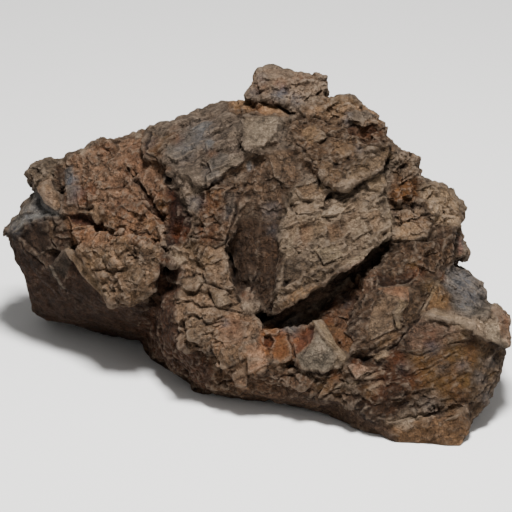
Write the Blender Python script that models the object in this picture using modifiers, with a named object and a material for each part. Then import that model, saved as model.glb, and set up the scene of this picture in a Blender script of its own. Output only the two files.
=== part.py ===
"""A rough rock: one loose boulder of fractured, iron-stained stone, lying on its flattest side.

The side that shows best is laid out on squared paper: x runs to the right and y down, in steps of 2 mm,
and depth comes out of the paper in the same steps. The far side is laid out from the ground: x to the
right, y away and z up, in the same steps. Each block is the convex hull of its corners. The blocks are
fused, cracked, broken into facets and laid down, so that the paper leans back by LEAN.
"""

import math

import bmesh
import bpy
import numpy as np
from mathutils import Matrix, Vector, noise

# Driving dimensions, in metres and degrees.
STEP = 0.002  # one step of the squared paper, which makes the rock about 1 m long
LEAN = 25.0  # how far the paper leans back from upright when the rock lies on the ground
PAPER_CENTRE = (256.0, 256.0)  # the paper's centre, in steps
PAPER_PLACE = (0.0075, -0.091, 0.275)  # where the paper's centre stands, from the middle of the base
HEART = (0.0, 0.04, 0.12)  # the middle of the rock, towards which the far side's blocks run
FAR_DEPTH = 0.3  # the share of the way to the heart that they run
FUSE_SIZE = 0.004  # the grain at which the blocks are fused
TRIANGLES = 10000
GROUND_SIZE = 2.0  # the side of the block of ground that the underside is cut by

# How the skin is broken up, coarse to fine, in metres: the size of the lumps and how far they swell.
SWELLS = ((0.160, 0.0050), (0.060, 0.0030))
# The size of the broken facets, how far they tilt and how far they step in or out.
FACETS = ((0.075, 0.0065, 0.0020), (0.034, 0.0050, 0.0018))

# The far side's facets, which are larger.
FAR_FACETS = ((0.170, 0.0200, 0.0070), (0.090, 0.0080, 0.0030))

# How rough each part of the paper is, against 1 elsewhere: middle, reach and roughness.
ROUGH_ZONES = {
    "left_body": ((115, 215), 60, 1.5),
    "left_underside": ((85, 300), 40, 0.5),
    "buttress": ((205, 285), 40, 1.7),
    "recess": ((255, 245), 28, 0.5),
    "grey_cap": ((210, 145), 45, 0.7),
    "slab": ((335, 235), 45, 0.75),
    "middle_foot": ((280, 360), 45, 0.8),
    "arm": ((385, 305), 35, 0.5),
    "right_front": ((430, 370), 60, 0.6),
    "blue_top": ((455, 290), 28, 0.6),
    "right_block": ((430, 210), 35, 1.2),
}

# Cracks on the near side: half their width, their depth and the line they follow on the paper.
CRACKS = {
    "left_body": (4, 10, [(128, 168), (136, 178), (146, 192), (154, 202), (161, 216)]),
    "left_body_ledge": (4, 7, [(62, 217), (76, 217), (86, 222), (97, 228)]),
    "left_body_low": (3, 5, [(70, 246), (95, 234), (118, 240), (140, 236), (160, 243)]),
    "knob_foot": (4, 9, [(256, 102), (270, 104), (284, 109), (300, 115)]),
    "cap": (2.5, 6, [(236, 104), (241, 118), (239, 132), (238, 150)]),
    "cap_side": (3, 6, [(160, 130), (152, 142), (158, 154)]),
    "slab_left": (3, 6, [(287, 193), (289, 204), (294, 212), (302, 219)]),
    "slab_right": (3, 6, [(331, 193), (327, 204), (318, 213), (306, 226)]),
    "lens": (3, 6, [(296, 128), (308, 140), (314, 156), (322, 170)]),
    "right_block": (3, 7, [(404, 208), (416, 206), (428, 208), (430, 220)]),
    "arm": (3, 6, [(402, 330), (398, 344), (384, 352), (372, 366), (352, 372)]),
    "toe": (3, 5, [(386, 422), (410, 414), (432, 410), (458, 404)]),
}

# Each block: how far it runs back into the rock, how much it narrows on the way, and its corners.
BLOCKS = {
    "heart": (
        0,
        1.0,
        [
            (110, 290, -60), (100, 180, -80), (180, 140, -60), (250, 112, -60), (340, 120, -40),
            (400, 180, -30), (440, 260, -20), (470, 330, 20), (440, 425, 30), (300, 392, -50),
            (215, 385, -60), (160, 352, -130), (106, 303, -240), (256, 300, -256), (400, 303, -238),
            (470, 330, -170), (488, 372, -84), (80, 230, -170), (190, 160, -180), (320, 160, -170),
            (420, 220, -130), (440, 276, -100),
        ],
    ),
    "left_back": (
        0,
        1.0,
        [
            (28, 316, -140), (22, 284, -112), (60, 250, -90), (60, 165, -110), (100, 145, -110),
            (140, 140, -100), (135, 333, -130), (150, 300, -60),
            (45, 300, -190), (60, 230, -180), (110, 200, -190), (110, 310, -210),
        ],
    ),
    "left_tip": (
        60,
        0.8,
        [
            (-6, 232, -100), (12, 209, -98), (29, 186, -95), (58, 200, -72), (57, 215, -58),
            (20, 222, -74), (66, 245, -58), (44, 268, -70), (23, 284, -108), (14, 265, -106), (2, 248, -104),
        ],
    ),
    "left_notch": (
        40,
        0.95,
        [(46, 200, -74), (66, 204, -66), (78, 222, -54), (84, 250, -50), (64, 256, -66), (44, 232, -82)],
    ),
    "left_knob": (
        50,
        0.8,
        [
            (21, 173, -92), (28, 162, -90), (44, 155, -92), (58, 157, -90), (60, 172, -82),
            (57, 190, -78), (48, 181, -72), (31, 189, -84), (42, 170, -74),
        ],
    ),
    "tan_fin": (
        30,
        0.9,
        [(38, 184, -72), (46, 178, -74), (55, 195, -62), (61, 210, -54), (52, 215, -54), (40, 202, -66)],
    ),
    "left_body": (
        70,
        0.9,
        [
            (60, 213, -52), (62, 190, -64), (58, 158, -86), (78, 146, -96), (100, 136, -94),
            (140, 128, -80), (168, 166, -34), (168, 200, -14), (164, 245, -4), (150, 290, -12),
            (108, 295, -27), (92, 276, -34), (74, 243, -44),
        ],
    ),
    "left_face": (
        50,
        0.9,
        [
            (75, 247, -40), (92, 232, -30), (140, 236, -2), (163, 247, 4), (162, 268, 6),
            (148, 298, -6), (140, 287, 2), (108, 303, -22), (90, 278, -30),
        ],
    ),
    "left_underside": (
        60,
        0.9,
        [
            (60, 250, -66), (75, 250, -48), (108, 300, -32), (150, 298, -18), (45, 266, -74),
            (26, 318, -140), (23, 290, -125), (20, 281, -112), (75, 328, -138), (132, 333, -130),
            (138, 345, -128), (160, 330, -60),
        ],
    ),
    "underside_plate": (
        20,
        1.0,
        [(45, 266, -66), (62, 249, -54), (74, 252, -44), (92, 284, -38), (62, 292, -72)],
    ),
    "grey_cap": (
        45,
        0.95,
        [
            (142, 155, -40), (146, 128, -62), (160, 122, -72), (200, 109, -66), (235, 94, -58),
            (250, 96, -52), (284, 116, -22), (280, 140, 2), (262, 150, 12), (238, 165, 18),
            (205, 187, 14), (172, 166, -12), (160, 158, -20),
        ],
    ),
    "pale_plate": (
        20,
        1.0,
        [
            (241, 117, -10), (256, 112, -14), (277, 114, -8), (282, 119, -4), (280, 140, 10),
            (264, 150, 18), (245, 152, 18), (239, 140, 8),
        ],
    ),
    "grey_flake": (
        40,
        0.9,
        [(176, 168, -10), (202, 168, 4), (206, 188, 6), (200, 214, 2), (188, 212, -6), (176, 188, -16)],
    ),
    "groove_back": (
        60,
        1.0,
        [
            (160, 160, -50), (190, 165, -40), (240, 165, -20), (235, 290, -10), (160, 290, -40),
            (150, 250, -50),
        ],
    ),
    "groove_floor": (
        30,
        1.0,
        [(154, 178, -28), (178, 182, -16), (192, 206, -8), (193, 228, -8), (186, 249, -8), (158, 252, -20)],
    ),
    "buttress_top": (
        60,
        0.95,
        [
            (205, 186, 4), (224, 176, 8), (242, 168, 8), (248, 186, 8), (239, 214, 10), (227, 242, 12),
            (222, 268, 16), (200, 275, 14), (172, 266, 4), (170, 256, 2), (182, 245, 0),
            (196, 232, 0), (200, 212, 0),
        ],
    ),
    "buttress_foot": (
        60,
        0.98,
        [
            (178, 262, 6), (196, 250, 10), (224, 262, 15), (237, 290, 22), (246, 312, 29),
            (238, 330, 34), (222, 342, 36), (204, 350, 34), (186, 347, 26), (176, 322, 14),
            (172, 292, 6), (192, 300, 18), (216, 300, 27),
        ],
    ),
    "left_foot": (
        60,
        0.9,
        [
            (152, 285, -34), (162, 272, -26), (190, 282, 2), (182, 345, 20), (213, 350, 30),
            (216, 385, 10), (203, 396, -24), (178, 381, -60), (147, 361, -100), (138, 343, -120),
            (136, 333, -125), (290, 391, -34), (250, 384, 4),
        ],
    ),
    "recess": (
        60,
        1.0,
        [
            (240, 165, 2), (262, 155, 8), (284, 200, 10), (276, 235, 10), (285, 262, 14),
            (283, 290, 20), (270, 312, 22), (248, 308, 8), (236, 290, -4), (226, 245, -12),
            (238, 205, -8),
        ],
    ),
    "centre_ridge": (
        50,
        1.0,
        [
            (250, 165, 6), (262, 152, 10), (290, 148, 12), (318, 166, 14), (302, 186, 20),
            (290, 208, 22), (284, 225, 18), (262, 215, 6), (250, 190, 4),
        ],
    ),
    "pale_chip": (
        20,
        0.9,
        [(240, 303, 18), (247, 290, 14), (262, 305, 28), (252, 315, 28), (256, 300, 22)],
    ),
    "slab": (
        34,
        0.92,
        [
            (300, 186, 24), (315, 180, 20), (326, 190, 18), (342, 194, 20), (372, 172, 14),
            (382, 174, 14), (388, 200, 20), (392, 222, 24), (391, 235, 28), (374, 246, 36),
            (366, 257, 40), (348, 265, 43), (325, 281, 46), (302, 296, 48), (277, 306, 42),
            (278, 290, 34), (285, 262, 26), (276, 236, 20), (284, 218, 22),
        ],
    ),
    "slab_sliver": (
        26,
        0.9,
        [(264, 318, 30), (276, 302, 38), (304, 289, 43), (292, 304, 41), (274, 316, 34)],
    ),
    "lens": (
        50,
        0.9,
        [
            (288, 122, 0), (300, 115, 2), (330, 96, -10), (352, 96, -12), (361, 105, -10),
            (374, 113, -8), (382, 126, -2), (394, 141, 2), (395, 152, 8), (388, 161, 14),
            (370, 170, 26), (345, 190, 34), (330, 188, 32), (321, 178, 26), (312, 165, 20),
            (298, 150, 14), (286, 135, 6),
        ],
    ),
    "lens_ledge": (
        30,
        0.95,
        [
            (345, 113, 4), (350, 108, 0), (367, 109, -2), (379, 120, 4), (381, 126, 8),
            (362, 122, 14), (348, 124, 14), (341, 120, 10),
        ],
    ),
    "crest": (
        30,
        0.9,
        [(328, 95, -14), (341, 90, -18), (353, 92, -18), (361, 103, -12), (345, 112, -4), (330, 112, -4)],
    ),
    "saddle": (
        40,
        0.95,
        [
            (256, 100, -26), (300, 104, -18), (312, 114, -8), (304, 150, 10), (290, 156, 12),
            (268, 152, 8), (274, 124, -8),
        ],
    ),
    "knob": (
        50,
        0.85,
        [
            (244, 99, -36), (247, 85, -42), (252, 72, -48), (264, 65, -52), (290, 67, -52),
            (318, 72, -48), (326, 79, -44), (330, 91, -38), (326, 99, -32), (303, 113, -18),
            (285, 106, -16), (268, 101, -18), (262, 84, -28), (300, 84, -26),
        ],
    ),
    "grey_lump": (
        50,
        0.9,
        [
            (392, 158, -8), (404, 153, -16), (413, 160, -14), (419, 174, -8), (418, 185, -2),
            (400, 180, 4), (394, 172, 0),
        ],
    ),
    "orange_lump": (30, 0.9, [(398, 178, 2), (421, 182, 0), (422, 190, 2), (406, 198, 8), (398, 190, 8)]),
    "orange_nub": (30, 0.9, [(388, 190, 6), (396, 186, 10), (405, 192, 12), (402, 202, 12), (390, 203, 8)]),
    "gap_back": (
        60,
        1.0,
        [
            (384, 158, -14), (396, 156, -20), (408, 178, -12), (428, 196, -12), (430, 216, -2),
            (404, 226, 4), (388, 242, 8), (383, 204, 4),
        ],
    ),
    "right_block": (
        70,
        0.9,
        [
            (393, 239, 14), (398, 222, 12), (420, 204, 6), (422, 186, -4), (437, 184, -12),
            (467, 206, -18), (466, 218, -12), (456, 228, -4), (428, 240, 20), (427, 226, 14),
        ],
    ),
    "right_fin": (
        60,
        0.9,
        [
            (450, 222, -22), (462, 228, -22), (467, 245, -20), (464, 256, -14), (453, 264, -8),
            (448, 240, -10),
        ],
    ),
    "arm": (
        60,
        0.9,
        [
            (376, 262, 20), (393, 241, 14), (427, 240, 20), (455, 229, 0), (456, 262, 6),
            (438, 279, 20), (429, 300, 32), (420, 312, 40), (402, 329, 52), (372, 345, 60),
            (346, 357, 64), (343, 345, 52), (352, 310, 32),
        ],
    ),
    "inner_wall": (
        40,
        1.0,
        [
            (326, 314, 0), (350, 284, -6), (376, 264, 10), (380, 300, 36), (362, 345, 58),
            (346, 356, 60), (336, 338, 38), (328, 322, 18),
        ],
    ),
    "arm_wedge": (
        20,
        0.9,
        [(377, 288, 40), (404, 286, 40), (406, 300, 48), (400, 328, 58), (391, 312, 52), (378, 302, 44)],
    ),
    "grey_block": (
        40,
        0.9,
        [
            (294, 355, 50), (310, 341, 48), (314, 321, 38), (319, 320, 40), (344, 358, 64),
            (336, 369, 60), (322, 372, 56), (300, 368, 50), (318, 350, 62),
        ],
    ),
    "orange_block": (
        40,
        0.9,
        [
            (262, 333, 34), (270, 328, 32), (290, 337, 30), (312, 328, 30), (308, 346, 46),
            (295, 359, 51), (276, 365, 48), (262, 352, 43),
        ],
    ),
    "pink_block": (
        50,
        0.9,
        [
            (214, 325, 30), (226, 313, 26), (245, 311, 24), (262, 322, 26), (264, 334, 34),
            (245, 345, 42), (242, 362, 46), (246, 372, 44), (234, 378, 36), (215, 370, 34),
            (212, 346, 34),
        ],
    ),
    "lit_cube": (
        30,
        0.9,
        [(245, 342, 42), (256, 341, 42), (264, 354, 48), (267, 366, 48), (248, 386, 42), (246, 356, 48)],
    ),
    "foot_chip": (20, 0.9, [(228, 368, 38), (246, 366, 46), (247, 388, 40), (232, 384, 30), (226, 376, 32)]),
    "foot_wedge": (20, 0.9, [(316, 396, 40), (318, 388, 46), (334, 368, 56), (338, 378, 60), (332, 398, 52)]),
    "ledge_block": (
        20,
        0.9,
        [(344, 364, 62), (356, 358, 64), (370, 368, 66), (350, 379, 66), (346, 372, 66)],
    ),
    "hollow_back": (
        60,
        1.0,
        [
            (262, 322, 4), (300, 300, -8), (345, 270, -8), (360, 300, 8), (320, 330, 10), (282, 342, 14),
            (300, 362, 32), (345, 358, 46), (385, 350, 54), (380, 378, 60), (330, 384, 48), (262, 372, 30),
        ],
    ),
    "middle_foot": (
        60,
        0.9,
        [
            (215, 385, 16), (212, 368, 26), (246, 372, 38), (276, 366, 42), (300, 370, 46),
            (330, 372, 50), (345, 365, 52), (352, 382, 56), (332, 398, 48), (310, 396, 36),
            (290, 386, 20), (250, 383, 12), (288, 389, -28), (208, 394, -24), (312, 400, -2), (330, 411, 22),
        ],
    ),
    "ledges": (
        50,
        0.9,
        [
            (322, 393, 48), (332, 376, 54), (346, 366, 58), (358, 362, 62), (375, 372, 66),
            (402, 374, 68), (404, 396, 74), (368, 403, 68), (342, 403, 58),
        ],
    ),
    "right_foot": (
        80,
        0.9,
        [
            (402, 330, 48), (420, 313, 44), (440, 319, 54), (468, 327, 58), (480, 338, 60),
            (496, 338, 50), (507, 350, 38), (504, 366, 38), (496, 377, 42), (485, 397, 48),
            (482, 407, 52), (467, 423, 60), (456, 440, 72), (400, 440, 69), (352, 426, 40), (384, 421, 72),
            (366, 404, 66), (372, 345, 50), (345, 395, 50), (334, 417, 27), (326, 408, 16),
        ],
    ),
    "cream_ledge": (
        50,
        0.9,
        [
            (420, 311, 46), (440, 317, 58), (466, 324, 68), (480, 338, 72), (495, 342, 63),
            (502, 350, 53), (507, 350, 36), (508, 322, 20), (502, 310, 8), (488, 308, 6),
            (470, 316, 34),
        ],
    ),
    "blue_top": (
        70,
        0.9,
        [
            (437, 280, 18), (455, 266, -6), (470, 270, -12), (482, 289, -10), (484, 301, -2),
            (487, 308, 6), (468, 318, 38), (445, 314, 42), (422, 311, 38),
        ],
    ),
    "tan_toe": (
        40,
        0.9,
        [
            (386, 420, 73), (400, 417, 77), (425, 412, 79), (458, 407, 78), (466, 415, 74),
            (471, 424, 64), (459, 441, 74), (455, 444, 77), (400, 440, 69), (388, 432, 71),
        ],
    ),
}

# The blocks of the far side, with their corners from the middle of the base.
FAR_BLOCKS = {
    "left_shoulder": [
        (-222, 74, 100), (-206, 69, 180), (-150, 74, 204), (-112, 74, 214), (-100, 124, 190),
        (-150, 139, 160), (-196, 119, 150), (-206, 104, 60), (-190, 94, 14), (-120, 144, 0),
        (-100, 154, 60),
    ],
    "upper_plate": [
        (-108, 66, 216), (-60, 69, 238), (0, 72, 250), (20, 79, 258), (15, 119, 226),
        (-30, 146, 190), (-96, 132, 178), (-110, 104, 192), (-60, 156, 140), (10, 161, 152),
    ],
    "crown": [
        (12, 79, 258), (60, 74, 258), (100, 49, 258), (124, 34, 242), (130, 84, 215),
        (102, 119, 192), (40, 134, 200), (15, 119, 220), (30, 159, 140), (110, 144, 142),
    ],
    "right_shoulder": [
        (125, 39, 236), (150, 19, 216), (175, 14, 193), (204, 0, 170), (210, 34, 140),
        (190, 74, 132), (150, 104, 150), (120, 104, 186), (198, 64, 60), (160, 124, 70), (120, 139, 100),
    ],
    "wall_middle": [
        (-70, 149, 130), (-20, 159, 148), (40, 161, 150), (88, 149, 136), (94, 169, 60),
        (40, 186, 50), (-30, 189, 58), (-74, 174, 70), (-60, 163, -8), (30, 176, -8), (94, 158, -8),
    ],
    "wall_left": [
        (-170, 119, 100), (-120, 139, 130), (-66, 149, 126), (-62, 166, 70), (-100, 174, 40),
        (-164, 144, 40), (-158, 122, -8), (-96, 150, -8), (-60, 160, -8),
    ],
    "wall_right": [
        (96, 149, 124), (140, 134, 120), (184, 94, 110), (208, 59, 94), (218, 64, 30),
        (190, 114, 30), (140, 154, 40), (98, 169, 58), (94, 158, -8), (140, 138, -8),
        (184, 104, -8), (208, 60, -8),
    ],
    "right_toe": [
        (206, 14, 92), (222, -26, 94), (237, -56, 88), (245, -72, 86), (250, -36, 60),
        (240, 14, 52), (218, 59, 54), (224, 64, -8), (244, 14, -8), (238, -46, 6), (230, -80, 14),
    ],
    "rear_ledge": [
        (-45, 159, 120), (0, 169, 128), (60, 166, 122), (70, 176, 96), (10, 190, 88),
        (-50, 180, 92), (-40, 154, 80), (60, 154, 80),
    ],
    "rear_flake": [
        (20, 116, 222), (60, 124, 214), (72, 144, 180), (40, 158, 160), (8, 146, 180), (30, 116, 170),
    ],
    "rear_slab": [
        (-150, 134, 168), (-104, 138, 184), (-92, 162, 140), (-112, 168, 96), (-150, 156, 92),
        (-158, 140, 130), (-120, 126, 120),
    ],
    "rear_wedge": [
        (120, 108, 186), (152, 108, 150), (172, 120, 96), (150, 142, 84), (118, 144, 110), (120, 106, 110),
    ],
}


def paper_frame():
    """The matrix from the squared paper, in steps, to the rock's own frame, in metres."""
    centre = Matrix.Translation((-PAPER_CENTRE[0], -PAPER_CENTRE[1], 0))
    lean = math.radians(LEAN)
    across = Vector((1, 0, 0))
    down = -Vector((0, math.sin(lean), math.cos(lean)))
    out = Vector((0, -math.cos(lean), math.sin(lean)))
    turn = Matrix((across, down, out)).transposed().to_4x4()
    return Matrix.Translation(PAPER_PLACE) @ turn @ Matrix.Scale(STEP, 4) @ centre


def block_corners(run_back, narrowing, corners):
    """A block's corners on the paper, with those it has where it ends inside the rock."""
    front = [Vector(corner) for corner in corners]
    if not run_back:
        return front
    middle = sum(front, Vector()) / len(front)
    back = [middle + (corner - middle) * narrowing - Vector((0, 0, run_back)) for corner in front]
    return front + back


def loose_blocks():
    """One mesh with every block's convex hull, in the rock's own frame."""
    frame = paper_frame()
    blocks = [[frame @ corner for corner in block_corners(*block)] for block in BLOCKS.values()]
    for corners in FAR_BLOCKS.values():
        outside = [Vector(corner) * STEP for corner in corners]
        blocks.append(outside + [corner.lerp(Vector(HEART), FAR_DEPTH) for corner in outside])
    model = bmesh.new()
    for corners in blocks:
        hull = bmesh.ops.convex_hull(model, input=[model.verts.new(corner) for corner in corners])
        bmesh.ops.delete(model, geom=hull["geom_interior"], context="VERTS")
    bmesh.ops.recalc_face_normals(model, faces=model.faces)
    mesh = bpy.data.meshes.new("blocks")
    model.to_mesh(mesh)
    model.free()
    return mesh


def with_modifiers(rock):
    """Replaces the rock's mesh by the one that its modifiers make, and clears them."""
    bpy.context.view_layer.update()
    graph = bpy.context.evaluated_depsgraph_get()
    made = bpy.data.meshes.new_from_object(rock.evaluated_get(graph))
    rock.modifiers.clear()
    rock.data = made


def fuse(rock, size):
    """Fuses the overlapping shells into one skin."""
    remesh = rock.modifiers.new("fuse", "REMESH")
    remesh.mode = "VOXEL"
    remesh.voxel_size = size
    remesh.adaptivity = 0
    with_modifiers(rock)


def skin(rock):
    """The skin's points and outward normals, as arrays."""
    mesh = rock.data
    points = np.empty(len(mesh.vertices) * 3)
    normals = np.empty(len(mesh.vertices) * 3)
    mesh.vertices.foreach_get("co", points)
    mesh.vertices.foreach_get("normal", normals)
    return points.reshape(-1, 3), normals.reshape(-1, 3)


def move_skin(rock, points):
    rock.data.vertices.foreach_set("co", points.ravel())
    rock.data.update()


def on_paper(points):
    """Where points of the rock are on the squared paper, in steps."""
    to_paper = np.array(paper_frame().inverted())
    return points @ to_paper[:3, :3].T + to_paper[:3, 3]


def distance_to_line(places, line):
    """How far each place is from a line through the given corners, on the paper."""
    nearest = np.full(len(places), np.inf)
    for start, end in zip(np.array(line[:-1], float), np.array(line[1:], float)):
        along = end - start
        share = np.clip((places - start) @ along / (along @ along), 0, 1)
        foot = start + share[:, None] * along
        nearest = np.minimum(nearest, np.linalg.norm(places - foot, axis=1))
    return nearest


def facing(normals, out):
    """How far each normal faces the paper's viewer (out 1) or away from the viewer (out -1), up to 1."""
    towards_viewer = np.array(paper_frame().col[2][:3]) / STEP
    return np.clip(2 * out * (normals @ towards_viewer), 0, 1)


def crack(rock):
    """Sinks a V along each line in CRACKS, on the near side."""
    points, normals = skin(rock)
    places = on_paper(points)[:, :2]
    sunk = np.zeros(len(points))
    for half_width, depth, line in CRACKS.values():
        sunk = np.maximum(sunk, depth * np.clip(1 - distance_to_line(places, line) / half_width, 0, 1))
    sunk *= facing(normals, 1) * STEP
    move_skin(rock, points - normals * sunk[:, None])


def roughness(points):
    """How rough the rock is at each point, blended from ROUGH_ZONES."""
    places = on_paper(points)[:, :2]
    total = np.full(len(points), 0.3)
    share = np.full(len(points), 0.3)
    for middle, reach, rough in ROUGH_ZONES.values():
        weight = np.exp(-(((places - middle) / reach) ** 2).sum(axis=1))
        total += weight * rough
        share += weight
    return total / share


def facet_heights(points, size, tilt, step):
    """Splits space into cells of this size, each with a plane of its own, and gives the plane's height."""
    heights = np.empty(len(points))
    for index, point in enumerate(points / size):
        cell = noise.voronoi(point)[1][0]
        lean = noise.cell_vector(cell * 97) - Vector((0.5, 0.5, 0.5))
        heights[index] = 2 * tilt * lean.dot(Vector(point) - cell) + step * noise.cell(cell * 53)
    return heights


def roughen(rock):
    """Swells the skin into lumps and breaks it into facets."""
    points, normals = skin(rock)
    rough = roughness(points)
    heights = np.zeros(len(points))
    for size, amount in SWELLS:
        heights += [amount * noise.noise(point) for point in points / size]
    for facets in FACETS:
        heights += facet_heights(points, *facets)
    for facets in FAR_FACETS:
        heights += facing(normals, -1) * facet_heights(points, *facets)
    move_skin(rock, points + normals * (heights * rough)[:, None])


def largest_shell(rock):
    """Keeps the outer skin, and drops the shells round any hollow that the blocks sealed in."""
    model = bmesh.new()
    model.from_mesh(rock.data)
    shells = []
    waiting = set(model.verts)
    while waiting:
        shell = {waiting.pop()}
        rim = set(shell)
        while rim:
            beside = {edge.other_vert(vert) for vert in rim for edge in vert.link_edges}
            rim = beside - shell
            shell |= rim
        waiting -= shell
        shells.append(shell)
    shells.sort(key=len)
    for shell in shells[:-1]:
        bmesh.ops.delete(model, geom=list(shell), context="VERTS")
    model.to_mesh(rock.data)
    model.free()


def thin_out(rock, triangles):
    """Leaves about this many triangles, the small ones where the skin bends most."""
    rock.data.calc_loop_triangles()
    decimate = rock.modifiers.new("thin out", "DECIMATE")
    decimate.ratio = triangles / len(rock.data.loop_triangles)
    decimate.use_collapse_triangulate = True
    with_modifiers(rock)


def lay_flat(rock, cutters):
    """Cuts the rock off at the ground, which gives it the flat face that it lies on."""
    bpy.ops.mesh.primitive_cube_add(size=GROUND_SIZE, location=(0, 0, -GROUND_SIZE / 2))
    ground = bpy.context.object
    ground.name = "ground"
    ground.hide_render = True
    ground.display_type = "WIRE"
    for collection in list(ground.users_collection):
        collection.objects.unlink(ground)
    cutters.objects.link(ground)
    cut = rock.modifiers.new("lay flat", "BOOLEAN")
    cut.operation = "DIFFERENCE"
    cut.solver = "EXACT"
    cut.use_self = True  # the thinned skin may touch itself in a narrow gap
    cut.object = ground
    with_modifiers(rock)


def stone():
    """Brown, iron-stained stone with a dull surface."""
    material = bpy.data.materials.new("stone")
    material.use_nodes = True
    shader = material.node_tree.nodes["Principled BSDF"]
    shader.inputs["Base Color"].default_value = (0.165, 0.120, 0.088, 1)
    shader.inputs["Roughness"].default_value = 0.85
    shader.inputs["Metallic"].default_value = 0.0
    return material


def make_rock():
    collection = bpy.data.collections.new("rough_rock")
    cutters = bpy.data.collections.new("cutters")
    bpy.context.scene.collection.children.link(collection)
    bpy.context.scene.collection.children.link(cutters)
    rock = bpy.data.objects.new("rock", loose_blocks())
    collection.objects.link(rock)
    fuse(rock, FUSE_SIZE)
    crack(rock)
    roughen(rock)
    fuse(rock, FUSE_SIZE)
    largest_shell(rock)
    thin_out(rock, TRIANGLES)
    lay_flat(rock, cutters)
    rock.data.materials.append(stone())
    return rock


for leftover in list(bpy.data.objects):
    bpy.data.objects.remove(leftover)
make_rock()
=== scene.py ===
import math

import bpy
import numpy as np
from mathutils import Matrix, Vector


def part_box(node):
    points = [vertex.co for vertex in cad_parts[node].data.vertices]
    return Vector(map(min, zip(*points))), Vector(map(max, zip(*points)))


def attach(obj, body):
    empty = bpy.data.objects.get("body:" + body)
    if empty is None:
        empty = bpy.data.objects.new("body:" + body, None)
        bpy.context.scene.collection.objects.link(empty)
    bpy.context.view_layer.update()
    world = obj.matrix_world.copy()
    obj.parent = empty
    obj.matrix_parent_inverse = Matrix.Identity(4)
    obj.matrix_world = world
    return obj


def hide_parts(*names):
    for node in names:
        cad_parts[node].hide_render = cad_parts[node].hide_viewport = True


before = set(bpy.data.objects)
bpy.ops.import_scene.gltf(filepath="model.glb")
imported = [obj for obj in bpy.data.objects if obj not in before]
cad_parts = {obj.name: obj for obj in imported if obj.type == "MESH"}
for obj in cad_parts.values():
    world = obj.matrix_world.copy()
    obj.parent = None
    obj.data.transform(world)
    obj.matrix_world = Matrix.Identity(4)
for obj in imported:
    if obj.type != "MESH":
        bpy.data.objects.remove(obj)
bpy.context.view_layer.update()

# The rock is laid out on squared paper, as its solid is: x to the right, y down and depth out of the paper
paper = {
    "step": 0.002,  # metres
    "lean": 25.0,  # degrees back from upright
    "centre": (256.0, 256.0),  # steps
    "place": (0.0075, -0.091, 0.275),  # where that centre is, in metres
}

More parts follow.
